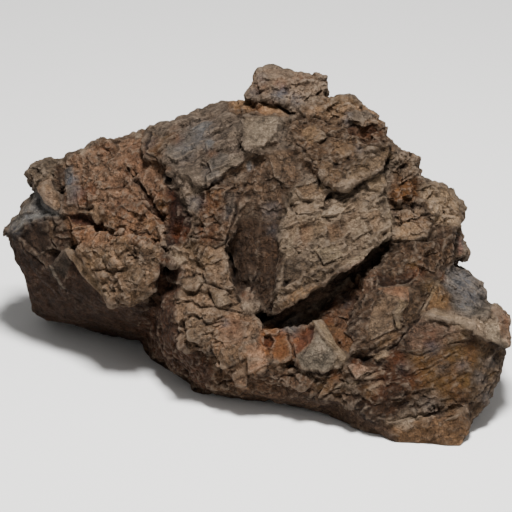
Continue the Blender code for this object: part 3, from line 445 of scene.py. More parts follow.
# Flat chips and hollows that show one by one: how far they stand out at the middle, how that grows over ten
# steps to the right and down (all in steps of the paper), the tone and the outline
plates = {
    "finFace": (
        3, (-2.5, 0), (146, 120, 96), [(37, 187), (46, 178), (52, 190), (59, 206), (53, 213), (43, 206)],
    ),
    # Dark brown tone: painted shade on the knob's shaded side
    "knobNiche": (
        1.5, (0.5, 0), (90, 72, 57), [(50, 165), (56, 162), (60, 176), (60, 192), (55, 190), (51, 180)],
    ),
    "blueStrip": (1.5, (0, 1), (104, 100, 98), [(61, 170), (69, 163), (71, 178), (64, 193)]),
    "blueStripLow": (3, (0, 0.5), (108, 100, 94), [(64, 187), (77, 183), (80, 198), (74, 206), (65, 205)]),
    "bodyNearFin": (3, (0, 0.5), (134, 106, 84), [(75, 190), (84, 190), (92, 206), (84, 209), (76, 206)]),
    "underBlock": (1.5, (0.5, -1), (82, 70, 60), [(45, 267), (60, 251), (72, 252), (69, 263), (62, 280)]),
    "tipStreak": (1, (0, 0), (100, 82, 66), [(47, 221), (52, 219), (51, 240), (47, 238)]),
    # Grey-blue tone on a face that turns up: partly painted sky sheen
    "tipRidge": (
        1.5, (0, 1), (148, 147, 144),
        [(6, 233), (22, 216), (38, 213), (56, 210), (56, 214), (26, 221), (12, 231)],
    ),
    "tipTriangle": (0.5, (1, 0), (104, 86, 72), [(27, 223), (44, 222), (42, 240), (38, 254), (32, 244)]),
    "tipBlockEdge": (1.5, (0, 0), (128, 120, 110), [(46, 266), (49, 266), (62, 290), (59, 290)]),
    "bodyRim": (
        1.5, (-1.5, 1), (150, 128, 104), [(62, 250), (67, 247), (88, 272), (112, 296), (108, 304), (88, 284)],
    ),
    # Grey tone partly painted sky sheen on a face that turns up
    "tipFacet": (1, (-1, 0.5), (126, 124, 122), [(22, 214), (36, 191), (42, 202), (53, 211), (36, 212)]),
    # Dark tone: painted shade on the tip's underside
    "tipDark": (0, (1, -1), (66, 50, 39), [(14, 236), (28, 224), (46, 220), (46, 238), (50, 248), (34, 254)]),
    "bodyShelf": (
        0, (1, 0), (128, 104, 84),
        [(61, 207), (72, 204), (84, 210), (92, 213), (90, 215), (76, 212), (62, 212)],
    ),
    # Dark tone: painted shade in the cave
    "bodyCave": (
        -3, (0, 0), (82, 52, 38), [(66, 214), (78, 214), (92, 219), (94, 226), (82, 224), (68, 219)],
    ),
    "bodyPoint": (2, (1, 1.5), (142, 116, 92), [(85, 210), (96, 204), (104, 214), (98, 224), (90, 220)]),
    "bodyShelfLow": (
        2.5, (0, 2), (128, 102, 78), [(97, 216), (108, 212), (120, 220), (116, 230), (104, 226)],
    ),
    "bodyChip": (2, (-1, 1), (134, 108, 82), [(112, 240), (124, 236), (130, 246), (118, 254)]),
    "bodyChipTwo": (
        2.5, (1, 1.5), (136, 112, 88), [(120, 268), (136, 264), (146, 272), (140, 284), (124, 280)],
    ),
    "bodyChipThree": (2, (-1, 1), (126, 104, 80), [(98, 252), (110, 250), (114, 262), (102, 266)]),
    "bodyChipFour": (2, (1, 1), (130, 100, 74), [(140, 222), (152, 216), (160, 226), (150, 236)]),
    "crestSpike": (2, (0, 0), (150, 134, 116), [(75, 150), (78, 145), (82, 149), (80, 154)]),
    "crestLump": (2, (0, 0), (140, 126, 110), [(132, 131), (138, 130), (141, 136), (133, 137)]),
    "capGrey": (1.5, (0, 1), (110, 102, 94), [(160, 152), (184, 132), (206, 127), (198, 146), (176, 161)]),
    "capLeftFace": (
        0.5, (1, 0), (134, 112, 90), [(145, 141), (151, 131), (161, 136), (158, 152), (149, 153)],
    ),
    "capBlue": (1, (-0.5, 1), (112, 110, 108), [(188, 128), (206, 118), (216, 122), (204, 132)]),
    "capEdge": (
        1.5, (0, 1.5), (132, 120, 106),
        [(206, 176), (224, 166), (240, 156), (243, 160), (226, 172), (208, 183)],
    ),
    "capSpot": (2, (-1, 1), (106, 104, 102), [(204, 141), (212, 138), (214, 149), (206, 151)]),
    "capPlate": (2, (0, 1.5), (112, 104, 96), [(206, 160), (220, 151), (233, 156), (228, 166), (212, 173)]),
    "whiteChip": (1, (0, 1), (128, 122, 116), [(246, 161), (251, 162), (250, 172), (247, 172)]),
    "plateFace": (
        2, (1, 1), (146, 132, 115), [(243, 118), (264, 114), (279, 117), (276, 134), (264, 147), (245, 149)],
    ),
    "grooveStep": (2, (-1, 1), (116, 104, 92), [(189, 197), (203, 196), (199, 213), (189, 212)]),
    "flakeTop": (2.5, (0, 1), (116, 102, 90), [(163, 172), (176, 170), (182, 184), (172, 190), (164, 184)]),
    # Dark tone of the band: partly painted shade
    "bandTop": (
        4, (0, 0), (84, 60, 44), [(163, 254), (176, 257), (186, 270), (182, 285), (168, 283), (163, 268)],
    ),
    "paleHook": (3, (0, 1), (142, 124, 106), [(194, 216), (198, 220), (195, 234), (189, 240), (191, 228)]),
    "buttressTan": (2, (1, 1), (124, 96, 70), [(207, 192), (221, 190), (224, 206), (213, 216), (205, 210)]),
    "buttressGrey": (-1.5, (-1, 0), (94, 82, 72), [(225, 193), (240, 194), (236, 208), (227, 217)]),
    "buttressChip": (3, (1, 2), (138, 118, 96), [(173, 254), (182, 250), (188, 262), (178, 268)]),
    "buttressChipTwo": (
        3, (1, 1.5), (136, 116, 96), [(182, 278), (196, 273), (205, 282), (196, 291), (184, 288)],
    ),
    "buttressChipThree": (3, (-1, 1.5), (130, 110, 88), [(210, 290), (226, 292), (232, 302), (218, 307)]),
    "buttressChipFour": (
        3, (0, 1.5), (128, 108, 88), [(186, 320), (198, 316), (206, 330), (200, 344), (188, 340)],
    ),
    "ridgeFacet": (1, (-1, 1), (112, 92, 74), [(268, 156), (284, 150), (296, 164), (286, 186), (274, 178)]),
    "slabFacet": (
        2.5, (-0.5, 1.5), (134, 112, 88), [(295, 191), (312, 184), (325, 190), (318, 200), (300, 201)],
    ),
    "slabFacetTwo": (
        1, (0.5, 1.5), (140, 119, 97), [(291, 207), (308, 204), (320, 206), (311, 214), (297, 215)],
    ),
    "slabFacetThree": (
        2, (-0.5, 2), (156, 140, 120),
        [(320, 215), (327, 209), (338, 206), (348, 207), (341, 214), (328, 217)],
    ),
    "slabFacetFour": (1, (0.5, 1), (136, 116, 94), [(300, 226), (322, 219), (328, 232), (306, 244)]),
    "slabTopLeft": (1, (1, 1), (128, 106, 84), [(298, 188), (312, 184), (318, 194), (304, 200)]),
    # These five are lit and shaded copies of the slab's tone: painted light and shade on its facets
    "slabTopLight": (1, (-1, 1), (150, 134, 114), [(314, 197), (327, 192), (325, 206), (314, 210)]),
    "slabMiddleDark": (0, (1, -1.5), (122, 102, 82), [(326, 226), (338, 220), (344, 236), (330, 242)]),
    "slabMiddleLight": (1.5, (1, 1.5), (156, 140, 120), [(346, 224), (360, 216), (368, 232), (352, 242)]),
    "slabLeftLight": (1, (1.5, 0.5), (152, 136, 116), [(286, 230), (298, 228), (302, 244), (290, 250)]),
    "slabLowLight": (0.5, (-0.5, 0.5), (150, 134, 112), [(316, 250), (336, 244), (342, 256), (322, 264)]),
    # Light tone: painted highlight along the slab's lower rim
    "slabRimLow": (
        1.5, (0, -1.5), (158, 142, 120),
        [(346, 262), (372, 246), (392, 231), (391, 238), (374, 250), (349, 266)],
    ),
    "slabFacetFive": (1, (-1, 1), (136, 114, 92), [(366, 214), (378, 210), (384, 226), (372, 236)]),
    "slabStone": (
        3, (-1, 0.5), (128, 108, 84),
        [(363, 179), (370, 172), (382, 174), (386, 184), (382, 192), (368, 190)],
    ),
    # Light tone: painted highlight on the slab's right rim
    "slabRim": (1.5, (-2, 0), (158, 140, 118), [(385, 194), (391, 206), (392, 236), (387, 238), (385, 215)]),
    "slabStrip": (
        2, (0, 1.5), (138, 112, 86), [(277, 303), (294, 292), (314, 283), (318, 288), (300, 299), (282, 308)],
    ),
    # Darker tone: partly painted shade on this sunken facet
    "slabDark": (-1, (1, -1), (88, 74, 60), [(284, 262), (300, 256), (312, 264), (296, 280), (284, 288)]),
    "lensStrip": (
        2, (-0.3, 1), (128, 107, 84),
        [
            (328, 187), (345, 180), (366, 164), (389, 147), (394, 155),
            (380, 166), (362, 180), (345, 193), (333, 192),
        ],
    ),
    "lensFacet": (2, (1.5, 1), (126, 104, 80), [(300, 129), (317, 124), (326, 138), (309, 147)]),
    "lensFacetTwo": (2.5, (0, 1.5), (128, 104, 80), [(330, 143), (351, 140), (357, 154), (340, 160)]),
    "lensFacetThree": (
        2, (-1, 1), (120, 98, 76), [(314, 160), (330, 164), (342, 176), (332, 186), (320, 176)],
    ),
    # Dark tone: painted shade under the small ledge
    "lensNiche": (
        -2.5, (0, 0), (92, 66, 48), [(346, 130), (353, 124), (373, 124), (379, 132), (362, 137), (348, 136)],
    ),
    "lensLumps": (
        2, (0, 1), (104, 92, 80), [(346, 113), (354, 109), (366, 110), (376, 117), (366, 121), (350, 121)],
    ),
    "lensPeak": (2, (0, 0), (124, 102, 78), [(330, 98), (338, 94), (343, 99), (340, 106), (331, 106)]),
    "rightFacet": (
        2, (0.5, 1), (144, 122, 98), [(395, 226), (406, 222), (424, 224), (427, 238), (412, 241), (396, 240)],
    ),
    # Darker tone: partly painted shade on this sunken facet
    "rightDark": (-1.5, (1, -1), (100, 80, 62), [(430, 230), (447, 226), (456, 229), (446, 239), (429, 241)]),
    "rightRidge": (
        2.5, (-1.5, 1), (152, 130, 104), [(430, 187), (438, 184), (462, 207), (459, 216), (444, 204)],
    ),
    "pinkRim": (0.5, (0, 0), (148, 114, 98), [(458, 233), (463, 240), (463, 251), (459, 256)]),
    # Dark tone: painted shade in the notch
    "rightNotch": (-3, (0, 0), (84, 60, 42), [(436, 230), (440, 226), (444, 240), (440, 250)]),
    # These two: painted light on the arm's top and its wedge, which catch it
    "armTop": (1.5, (0, 1.5), (158, 122, 96), [(376, 288), (406, 287), (405, 302), (398, 299), (388, 295)]),
    "armCream": (
        1.5, (-1, 0), (156, 138, 114),
        [(397, 299), (404, 302), (403, 309), (395, 314), (400, 327), (395, 327), (391, 313)],
    ),
    # Dark tone: partly painted shade in this sunken band
    "armBand": (
        -1, (0, -1.5), (72, 50, 34), [(374, 272), (392, 277), (410, 270), (416, 274), (406, 284), (380, 286)],
    ),
    "armGrey": (
        1.5, (1, 0.5), (118, 100, 82),
        [(374, 302), (388, 296), (398, 304), (391, 314), (393, 329), (370, 338), (366, 330)],
    ),
    "armFoot": (2, (0, 1), (124, 100, 76), [(373, 340), (392, 329), (398, 333), (385, 346), (375, 349)]),
    "cupRim": (3, (0, 1.5), (152, 114, 80), [(264, 331), (270, 325), (280, 329), (277, 335), (268, 336)]),
    # Dark tone: painted shade in the hole
    "cupHole": (-6, (0, 0), (64, 38, 26), [(264, 335), (270, 334), (274, 340), (271, 347), (265, 345)]),
    "cupWall": (1, (1, 0.5), (142, 102, 68), [(276, 336), (290, 339), (292, 356), (281, 361), (275, 350)]),
    "rustWall": (-1, (-1, 0), (112, 74, 58), [(293, 353), (300, 335), (312, 327), (315, 325), (310, 341)]),
    "blocksFoot": (3, (0, 0), (108, 84, 64), [(284, 359), (296, 357), (303, 366), (293, 373), (284, 369)]),
    "greyFace": (
        2, (0, 0.5), (136, 126, 112),
        [(295, 355), (311, 341), (318, 332), (336, 354), (328, 370), (303, 366)],
    ),
    "ridgeFace": (4, (-1, 0), (156, 136, 110), [(314, 322), (320, 321), (344, 357), (340, 361), (319, 336)]),
    "orangeSlope": (0, (-1, 0), (130, 98, 70), [(321, 322), (326, 317), (352, 339), (346, 352), (337, 345)]),
    "peach": (2.5, (-0.5, 1), (164, 128, 102), [(247, 345), (257, 341), (264, 352), (268, 364), (250, 372)]),
    "chipLow": (2.5, (-1, 0), (142, 114, 92), [(232, 373), (246, 366), (248, 388), (236, 385)]),
    "pinkFace": (
        1.5, (0.5, 0.5), (138, 112, 92), [(218, 330), (232, 318), (250, 322), (244, 340), (226, 348)],
    ),
    "pinkLow": (1.5, (0, 1), (128, 104, 82), [(216, 350), (238, 345), (243, 362), (222, 368)]),
    "footWedge": (
        2.5, (-1, 0.5), (144, 112, 82), [(318, 396), (323, 384), (334, 370), (338, 377), (327, 392)],
    ),
    "sliver": (3, (0, 2), (166, 146, 124), [(333, 386), (337, 382), (355, 379), (356, 382), (342, 385)]),
    "sliverTwo": (3, (0, 2), (150, 130, 108), [(362, 377), (380, 369), (384, 371), (370, 378)]),
    "sliverThree": (2.5, (0, 2), (142, 122, 100), [(366, 386), (380, 378), (383, 381), (372, 387)]),
    "pinkCube": (3, (-1, 1), (144, 114, 94), [(346, 365), (356, 359), (369, 368), (353, 377)]),
    "paleTriangle": (3, (0, 1), (164, 140, 114), [(370, 354), (384, 349), (387, 355), (375, 360)]),
    "creamLip": (0, (0, 1), (166, 144, 118), [(424, 312), (446, 314), (470, 320), (470, 326), (448, 319)]),
    "blueFoot": (
        2.5, (0, 1.5), (132, 122, 110),
        [(449, 301), (470, 304), (492, 297), (494, 306), (484, 320), (466, 316), (450, 312)],
    ),
    "creamLeft": (0.5, (1.5, 1), (176, 156, 134), [(448, 316), (468, 319), (472, 330), (458, 326)]),
    "creamMiddle": (1.5, (-2, 0), (166, 146, 124), [(468, 320), (484, 322), (484, 336), (470, 333)]),
    "creamRight": (
        1, (1.5, 0.5), (178, 160, 138), [(484, 322), (497, 328), (503, 346), (490, 341), (484, 336)],
    ),
    "creamNub": (1.5, (-1, 0), (146, 118, 98), [(491, 310), (505, 312), (509, 330), (507, 346), (496, 336)]),
    # Light tone: painted highlight on the rim that catches the light
    "paleEdge": (
        0.5, (-1, 0), (156, 136, 110),
        [(421, 310), (433, 286), (446, 271), (448, 273), (436, 287), (424, 310)],
    ),
    "toeSliver": (2, (0, 2), (170, 150, 128), [(384, 421), (404, 415), (426, 410), (408, 419)]),
    "toeSliverTwo": (1.5, (0, 2), (140, 118, 96), [(442, 417), (458, 407), (452, 415)]),
    "frontLump": (2, (-1, 1), (128, 110, 92), [(455, 330), (466, 329), (468, 337), (458, 339)]),
}

rock = {
    "grain": 0.0026,  # spacing of the fine skin before it is thinned out, in metres
    "triangles": 198000,
    "nearKept": 0.015,  # how strongly the near side is spared when the skin is thinned out
    "nearFrom": 0.4,  # what counts as the near side there, by how far it faces the viewer
    "crumbs": (
        {"size": 0.080, "lean": 0.22, "step": 0.0, "groove": 0.0010, "bulge": 0.0},
        {"size": 0.036, "lean": 0.42, "step": 0.01, "groove": 0.0016, "bulge": 0.10},
        {"size": 0.018, "lean": 0.48, "step": 0.03, "groove": 0.0012, "bulge": 0.12},
        {"size": 0.0088, "lean": 0.26, "step": 0.05, "groove": 0.0, "bulge": 0.0},
    ),
    "shingles": (
        {"size": 0.026, "lap": 0.15, "lean": 0.05, "way": (0.3, 1.0)},
        {"size": 0.013, "lap": 0.13, "lean": 0.09, "way": (-0.3, 1.0)},
    ),
    "layers": (
        {"size": 0.030, "stretch": 5.0, "lean": 0.38, "step": 0.03, "groove": 0.0012},
        {"size": 0.012, "stretch": 5.0, "lean": 0.42, "step": 0.05, "groove": 0.0006},
    ),
    "lip": 0.0022,  # how far the stone over a crack may stand proud
    "lipReach": 9.0,  # steps
    "crackDepth": 0.5,  # share of the depth that a crack is drawn with
    "swell": 0.0012,
    "swellSize": 0.05,
    "wander": 2.0,  # how far outlines and cracks stray from their lines, in steps
    "wanderSize": 0.03,
    "footHeight": 0.006,  # the skin stays flat on the ground, and is broken in full from here up
    "sharpAngle": 12.0,  # degrees between faces from which their edge shows sharp
    # Tones by facing: the up tone is greyer and lighter, dust with painted sky sheen; the under tone is dark,
    # soil with painted shade under the rock
    "upDustAndSheenTone": (116, 103, 90),
    "sideTone": (104, 83, 65),
    "underShadeTone": (60, 45, 35),
    "farCrumbs": 0.75,
    "farLayers": 0.6,
    "farGrain": (0.8, -0.6),
    "patchEdge": 4.0,  # how softly a patch ends, in steps
    "plateEdge": 0.8,  # and a plate
    "plateFlatness": 0.5,
    "plateScale": 0.6,
    "plateTilt": 2.0,  # how much more they lean than they are drawn
}


# The matrix from the squared paper to the row frame: centre, scale, lean back and put in place
def paperMatrix():
    lean = math.radians(paper["lean"])
    across = Vector((1, 0, 0))
    down = -Vector((0, math.sin(lean), math.cos(lean)))
    out = Vector((0, -math.cos(lean), math.sin(lean)))
    turn = Matrix((across, down, out)).transposed().to_4x4()
    centre = Matrix.Translation((-paper["centre"][0], -paper["centre"][1], 0))
    return Matrix.Translation(paper["place"]) @ turn @ Matrix.Scale(paper["step"], 4) @ centre


# Points of the row frame on the paper, in steps
def onPaper(points):
    matrix = np.array(paperMatrix().inverted())
    return points @ matrix[:3, :3].T + matrix[:3, 3]


# A direction on the paper as a unit vector of the row frame
def paperDirection(x, y, out=0.0):
    direction = paperMatrix().to_3x3() @ Vector((x, y, out))
    return np.array(direction.normalized())


# sRGB from 0 to 255 as linear colour: the usual curve of power 2.4
def linear(tone):
    share = np.array(tone, float) / 255
    return np.where(share < 0.04045, share / 12.92, ((share + 0.055) / 1.055) ** 2.4)


# From 0 at low to 1 at high, as 3 s^2 - 2 s^3 of the share s of the way
def smoothStep(low, high, values):
    share = np.clip((values - low) / (high - low), 0, 1)
    return share * share * (3 - 2 * share)


# A number from 0 to 4095 for each box of a grid, mixed from the box's three whole numbers
def boxNumber(boxes):
    mixed = boxes[:, 0] * 73856093 ^ boxes[:, 1] * 19349663 ^ boxes[:, 2] * 83492791
    return (mixed ^ mixed >> 13) & 4095


# Smooth noise from -1 to 1: a random value at each grid corner, blended by smooth steps between corners
def softNoise(points, size, seed, octaves=1):
    values = np.random.default_rng(seed).uniform(-1, 1, 4096)
    total = np.zeros(len(points))
    for octave in range(octaves):
        scaled = points * 2**octave / size
        boxes = np.floor(scaled).astype(np.int64)
        share = scaled - boxes
        share = share * share * (3 - 2 * share)
        for corner in np.ndindex(2, 2, 2):
            weight = np.where(corner, share, 1 - share).prod(axis=1)
            total += weight * values[boxNumber(boxes + corner)] / 2**octave
    return total


# Splits space round one random point in each grid box: the nearest point's number, the squared way to it,
# how much further the second nearest is and the way from the nearest, all in sizes
def brokenCells(points, size, seed):
    jitter = np.random.default_rng(seed).uniform(0.05, 0.95, (4096, 3))
    scaled = points / size
    home = np.floor(scaled).astype(np.int64)
    nearest = np.full(len(points), 9.0)
    second = np.full(len(points), 9.0)
    number = np.zeros(len(points), np.int64)
    middle = np.zeros(points.shape)
    for offset in np.ndindex(3, 3, 3):
        boxes = home + offset - 1
        key = boxNumber(boxes)
        way = scaled - boxes - jitter[key]
        square = (way * way).sum(axis=1)
        closer = square < nearest
        second = np.where(closer, nearest, np.minimum(second, square))
        nearest = np.where(closer, square, nearest)
        number = np.where(closer, key, number)
        middle[closer] = way[closer]
    return number, nearest, np.sqrt(second) - np.sqrt(nearest), middle


# Points shifted by soft noise, so that nothing made from them runs straight
def warped(points, size, seed, amount):
    shift = [softNoise(points, size, seed + axis, 2) for axis in range(3)]
    return points + np.stack(shift, axis=1) * size * amount


# Angular stone: flat facets that meet in ridges and valleys, with crumbs and cracks over them.
# Height is size * (lean * (first - second) - bulge * first + step * level) less the groove, where first and
# second are the squared ways to the nearest points of two random sets, which differ by a flat slope.
def brokenHeight(points, kind, seed, bulge=0.0):
    size = kind["size"]
    places = warped(points, size * 1.5, seed + 2, 0.12)
    number, first, gap, _ = brokenCells(places, size, seed)
    second = brokenCells(places, size * 0.93, seed + 7)[1]
    levels = np.random.default_rng(seed + 1).uniform(-1, 1, 4096)[number]
    openness = smoothStep(-0.1, 0.5, softNoise(points, size * 1.7, seed + 5))
    height = kind["lean"] * (first - second) - bulge * first + kind["step"] * levels
    return height * size - kind["groove"] * openness * np.clip(1 - gap / 0.12, 0, 1), levels


# Chips that lap over each other like shingles: height is size * (lap * the way down from the chip's middle
# + lean * the way along the chip's own random direction), so each chip ends in a small ledge
def shingleHeight(points, kind, seed):
    places = warped(points, kind["size"] * 1.5, seed + 2, 0.18)
    number, _, _, middle = brokenCells(places, kind["size"], seed)
    own = np.random.default_rng(seed + 3).normal(0, 1, (4096, 3))[number]
    down = paperDirection(*kind["way"])
    return kind["size"] * (kind["lap"] * (middle @ down) + kind["lean"] * (middle * own).sum(axis=1))


# Space shortened along a direction, so that what is broken in it comes out stretched that way
def shortened(points, direction, stretch):
    along = points @ direction
    return points - np.outer(along * (1 - 1 / stretch), direction)


# How far each place is from a line of corners, and its side of it: 1 on the paper's upper side, -1 below.
# On each stretch the foot is start + t * along, with t = offset . along / along . along held within 0 and 1.
def lineDistance(places, line):
    nearest = np.full(len(places), np.inf)
    side = np.ones(len(places))
    for start, end in zip(np.array(line[:-1], float), np.array(line[1:], float)):
        along = end - start
        offset = places - start
        share = np.clip(offset @ along / (along @ along), 0, 1)
        gap = np.linalg.norm(offset - share[:, None] * along, axis=1)
        turn = np.sign(along[0] * offset[:, 1] - along[1] * offset[:, 0]) * (-1 if along[0] > 0 else 1)
        side = np.where(gap < nearest, turn, side)
        nearest = np.minimum(nearest, gap)
    return nearest, side


# Inside an outline: the even-odd count of the edges that a ray to the right crosses, softened by the
# distance to the edge
def insideOutline(places, outline, soft):
    corners = np.array(outline, float)
    inside = np.zeros(len(places), bool)
    for start, end in zip(corners, np.roll(corners, -1, axis=0)):
        spans = (start[1] > places[:, 1]) != (end[1] > places[:, 1])
        rise = end[1] - start[1] if end[1] != start[1] else 1.0
        crossing = start[0] + (places[:, 1] - start[1]) * (end[0] - start[0]) / rise
        inside ^= spans & (places[:, 0] < crossing)
    gap, _ = lineDistance(places, list(outline) + [outline[0]])
    return smoothStep(-soft, soft, np.where(inside, gap, -gap))


# The points that a shape on the paper can reach: those of the near side within its box, and a margin
def inReach(places, near, corners, margin):
    low = np.min(corners, axis=0) - margin
    high = np.max(corners, axis=0) + margin
    return np.flatnonzero((near > 0) & (places > low).all(axis=1) & (places < high).all(axis=1))


def meshPoints(mesh, name="co"):
    values = np.empty(len(mesh.vertices) * 3)
    mesh.vertices.foreach_get(name, values)
    return values.reshape(-1, 3)


# Averages values over each point and its neighbours, some rounds over: (own + sum of theirs) / (count + 1)
def spread(values, edges, count, rounds):
    degree = np.bincount(edges.ravel(), minlength=count) + 1.0
    values = values.copy()
    for _ in range(rounds):
        total = values.copy()
        for column in range(values.shape[1]):
            total[:, column] += np.bincount(edges[:, 0], values[edges[:, 1], column], count)
            total[:, column] += np.bincount(edges[:, 1], values[edges[:, 0], column], count)
        values = total / degree[:, None]
    return values


def meshEdges(mesh):
    edges = np.empty(len(mesh.edges) * 2, np.int64)
    mesh.edges.foreach_get("vertices", edges)
    return edges.reshape(-1, 2)


# Vectors brought to length 1
def unit(vectors):
    return vectors / np.maximum(np.linalg.norm(vectors, axis=1), 1e-9)[:, None]


# Replaces an object's mesh by what its modifiers make of it
def applyModifiers(piece):
    bpy.context.view_layer.update()
    graph = bpy.context.evaluated_depsgraph_get()
    made = bpy.data.meshes.new_from_object(piece.evaluated_get(graph))
    piece.modifiers.clear()
    piece.data = made


# Keeps values on the points: one number, a vector of three or a colour of four for each
def addAttribute(mesh, name, values):
    width = values.shape[1] if values.ndim == 2 else 1
    kind, field = {1: ("FLOAT", "value"), 3: ("FLOAT_VECTOR", "vector"), 4: ("FLOAT_COLOR", "color")}[width]
    attribute = mesh.attributes.new(name, kind, "POINT")
    attribute.data.foreach_set(field, values.astype(np.float32).ravel())


# How far each point faces the paper's viewer, from 0 to 1: a smooth step of normal . out
def nearSide(normals):
    return smoothStep(-0.45, -0.15, normals @ paperDirection(0, 0, 1))


# The skin of the CAD rock, even and fine: its points merged, then remeshed
def fineSkin():
    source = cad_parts["rock"]
    piece = bpy.data.objects.new("rock_skin", source.data.copy())
    bpy.context.scene.collection.objects.link(piece)
    weld = piece.modifiers.new("merge", "WELD")
    weld.merge_threshold = 0.00005
    fuse = piece.modifiers.new("fine", "REMESH")
    fuse.mode = "VOXEL"
    fuse.voxel_size = rock["grain"]
    fuse.adaptivity = 0
    applyModifiers(piece)
    return piece


# Breaks the skin into crumbs, layers and cracks, by moving it along its smoothed normals
def breakSkin(piece):
    mesh = piece.data
    edges = meshEdges(mesh)
    count = len(mesh.vertices)
    points = spread(meshPoints(mesh), edges, count, 3)
    normals = unit(spread(meshPoints(mesh, "normal"), edges, count, 4))
    places = onPaper(points)[:, :2]
    near = nearSide(normals)
    wander = [softNoise(points, rock["wanderSize"], seed, 2) for seed in (11, 12)]
    wander = np.stack(wander, axis=1) * rock["wander"]

    # The far side has layers that run one way, and is crumbly in some zones and flat in others
    crumbs = rock["farCrumbs"] * (0.35 + 0.9 * smoothStep(-0.5, 0.6, softNoise(points, 0.16, 13, 2)))
    grain = np.repeat(paperDirection(*rock["farGrain"])[None] * 0.4, count, axis=0)
    layerHeight = np.zeros(count)
    direction = paperDirection(*rock["farGrain"], 0.15)
    for index, kind in enumerate(rock["layers"]):
        layer, _ = brokenHeight(shortened(points, direction, kind["stretch"]), kind, 70 + index * 10)
        layerHeight += layer * rock["farLayers"]
    weights = {}
    for name, patch in patches.items():
        here = inReach(places, near, patch["outline"], rock["patchEdge"] + 6)
        weight = insideOutline((places + wander)[here], patch["outline"], rock["patchEdge"]) * near[here]
        weights[name] = here, weight
        crumbs[here] += (patch["crumbs"] - crumbs[here]) * weight
        layerHeight[here] *= 1 - weight
        if patch["layers"]:
            direction = paperDirection(*patch["grain"], 0.15)
            grain[here] += (direction * min(1, patch["layers"] + 0.4) - grain[here]) * weight[:, None]
            for index, kind in enumerate(rock["layers"]):
                stretched = shortened(points[here], direction, kind["stretch"])
                layer, _ = brokenHeight(stretched, kind, 40 + index * 10)
                layerHeight[here] += layer * patch["layers"] * weight

    height = rock["swell"] * softNoise(points, rock["swellSize"], 5, 2) + layerHeight
    tint = np.zeros(count)
    crumbs *= 0.7 + 0.6 * smoothStep(-0.4, 0.5, softNoise(points, 0.07, 17))
    for index, kind in enumerate(rock["crumbs"]):
        bulge = kind["bulge"] * np.clip(crumbs - 0.6, 0, 1)
        broken, level = brokenHeight(points, kind, 20 + index * 10, bulge)
        height += broken * crumbs
        tint += level * (0.4 + 0.3 * index)
    for index, kind in enumerate(rock["shingles"]):
        height += shingleHeight(points, kind, 100 + index * 10) * crumbs

    # Each crack comes and goes along its line, and the stone above it stands proud
    depth = np.zeros(count)
    lip = np.zeros(count)
    strength = 0.25 + 0.75 * smoothStep(-0.5, 0.3, softNoise(points, 0.022, 61, 2))
    for halfWidth, deep, line in cracks.values():
        here = inReach(places, near, line, 3 * rock["lipReach"])
        gap, side = lineDistance((places + wander)[here], line)
        width = halfWidth * (0.4 + 0.6 * strength[here])
        depth[here] = np.maximum(depth[here], deep * strength[here] * np.clip(1 - gap / width, 0, 1))
        lip[here] += np.where(side > 0, deep / 6, 0) * np.exp(-gap / rock["lipReach"])
    crack = depth * near * paper["step"] * rock["crackDepth"]
    height = height - crack + rock["lip"] * np.minimum(lip, 1.5) * near

    # A plate is flatter than what lies round it, and stands out or lies back with a sharp edge
    for name, (raised, (right, down), tone, outline) in plates.items():
        here = inReach(places, near, outline, 6)
        weight = insideOutline((places + wander * 0.5)[here], outline, rock["plateEdge"]) * near[here]
        weights[name] = here, weight
        away = (places[here] - np.mean(outline, axis=0)) / 10
        plane = (raised + away @ (right, down) * rock["plateTilt"]) * paper["step"] * rock["plateScale"]
        height[here] += (plane - height[here] * rock["plateFlatness"]) * weight
    height *= smoothStep(0.0, rock["footHeight"], points[:, 2])

    low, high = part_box("rock")
    moved = np.clip(points + normals * height[:, None], np.array(low), np.array(high))
    mesh.vertices.foreach_set("co", moved.ravel())
    mesh.update()
    addAttribute(mesh, "grain", grain)
    print("skin broken:", count, "points, moved", round(float(np.abs(height).max()) * 1000, 1), "mm at most")
    return weights, tint, crack


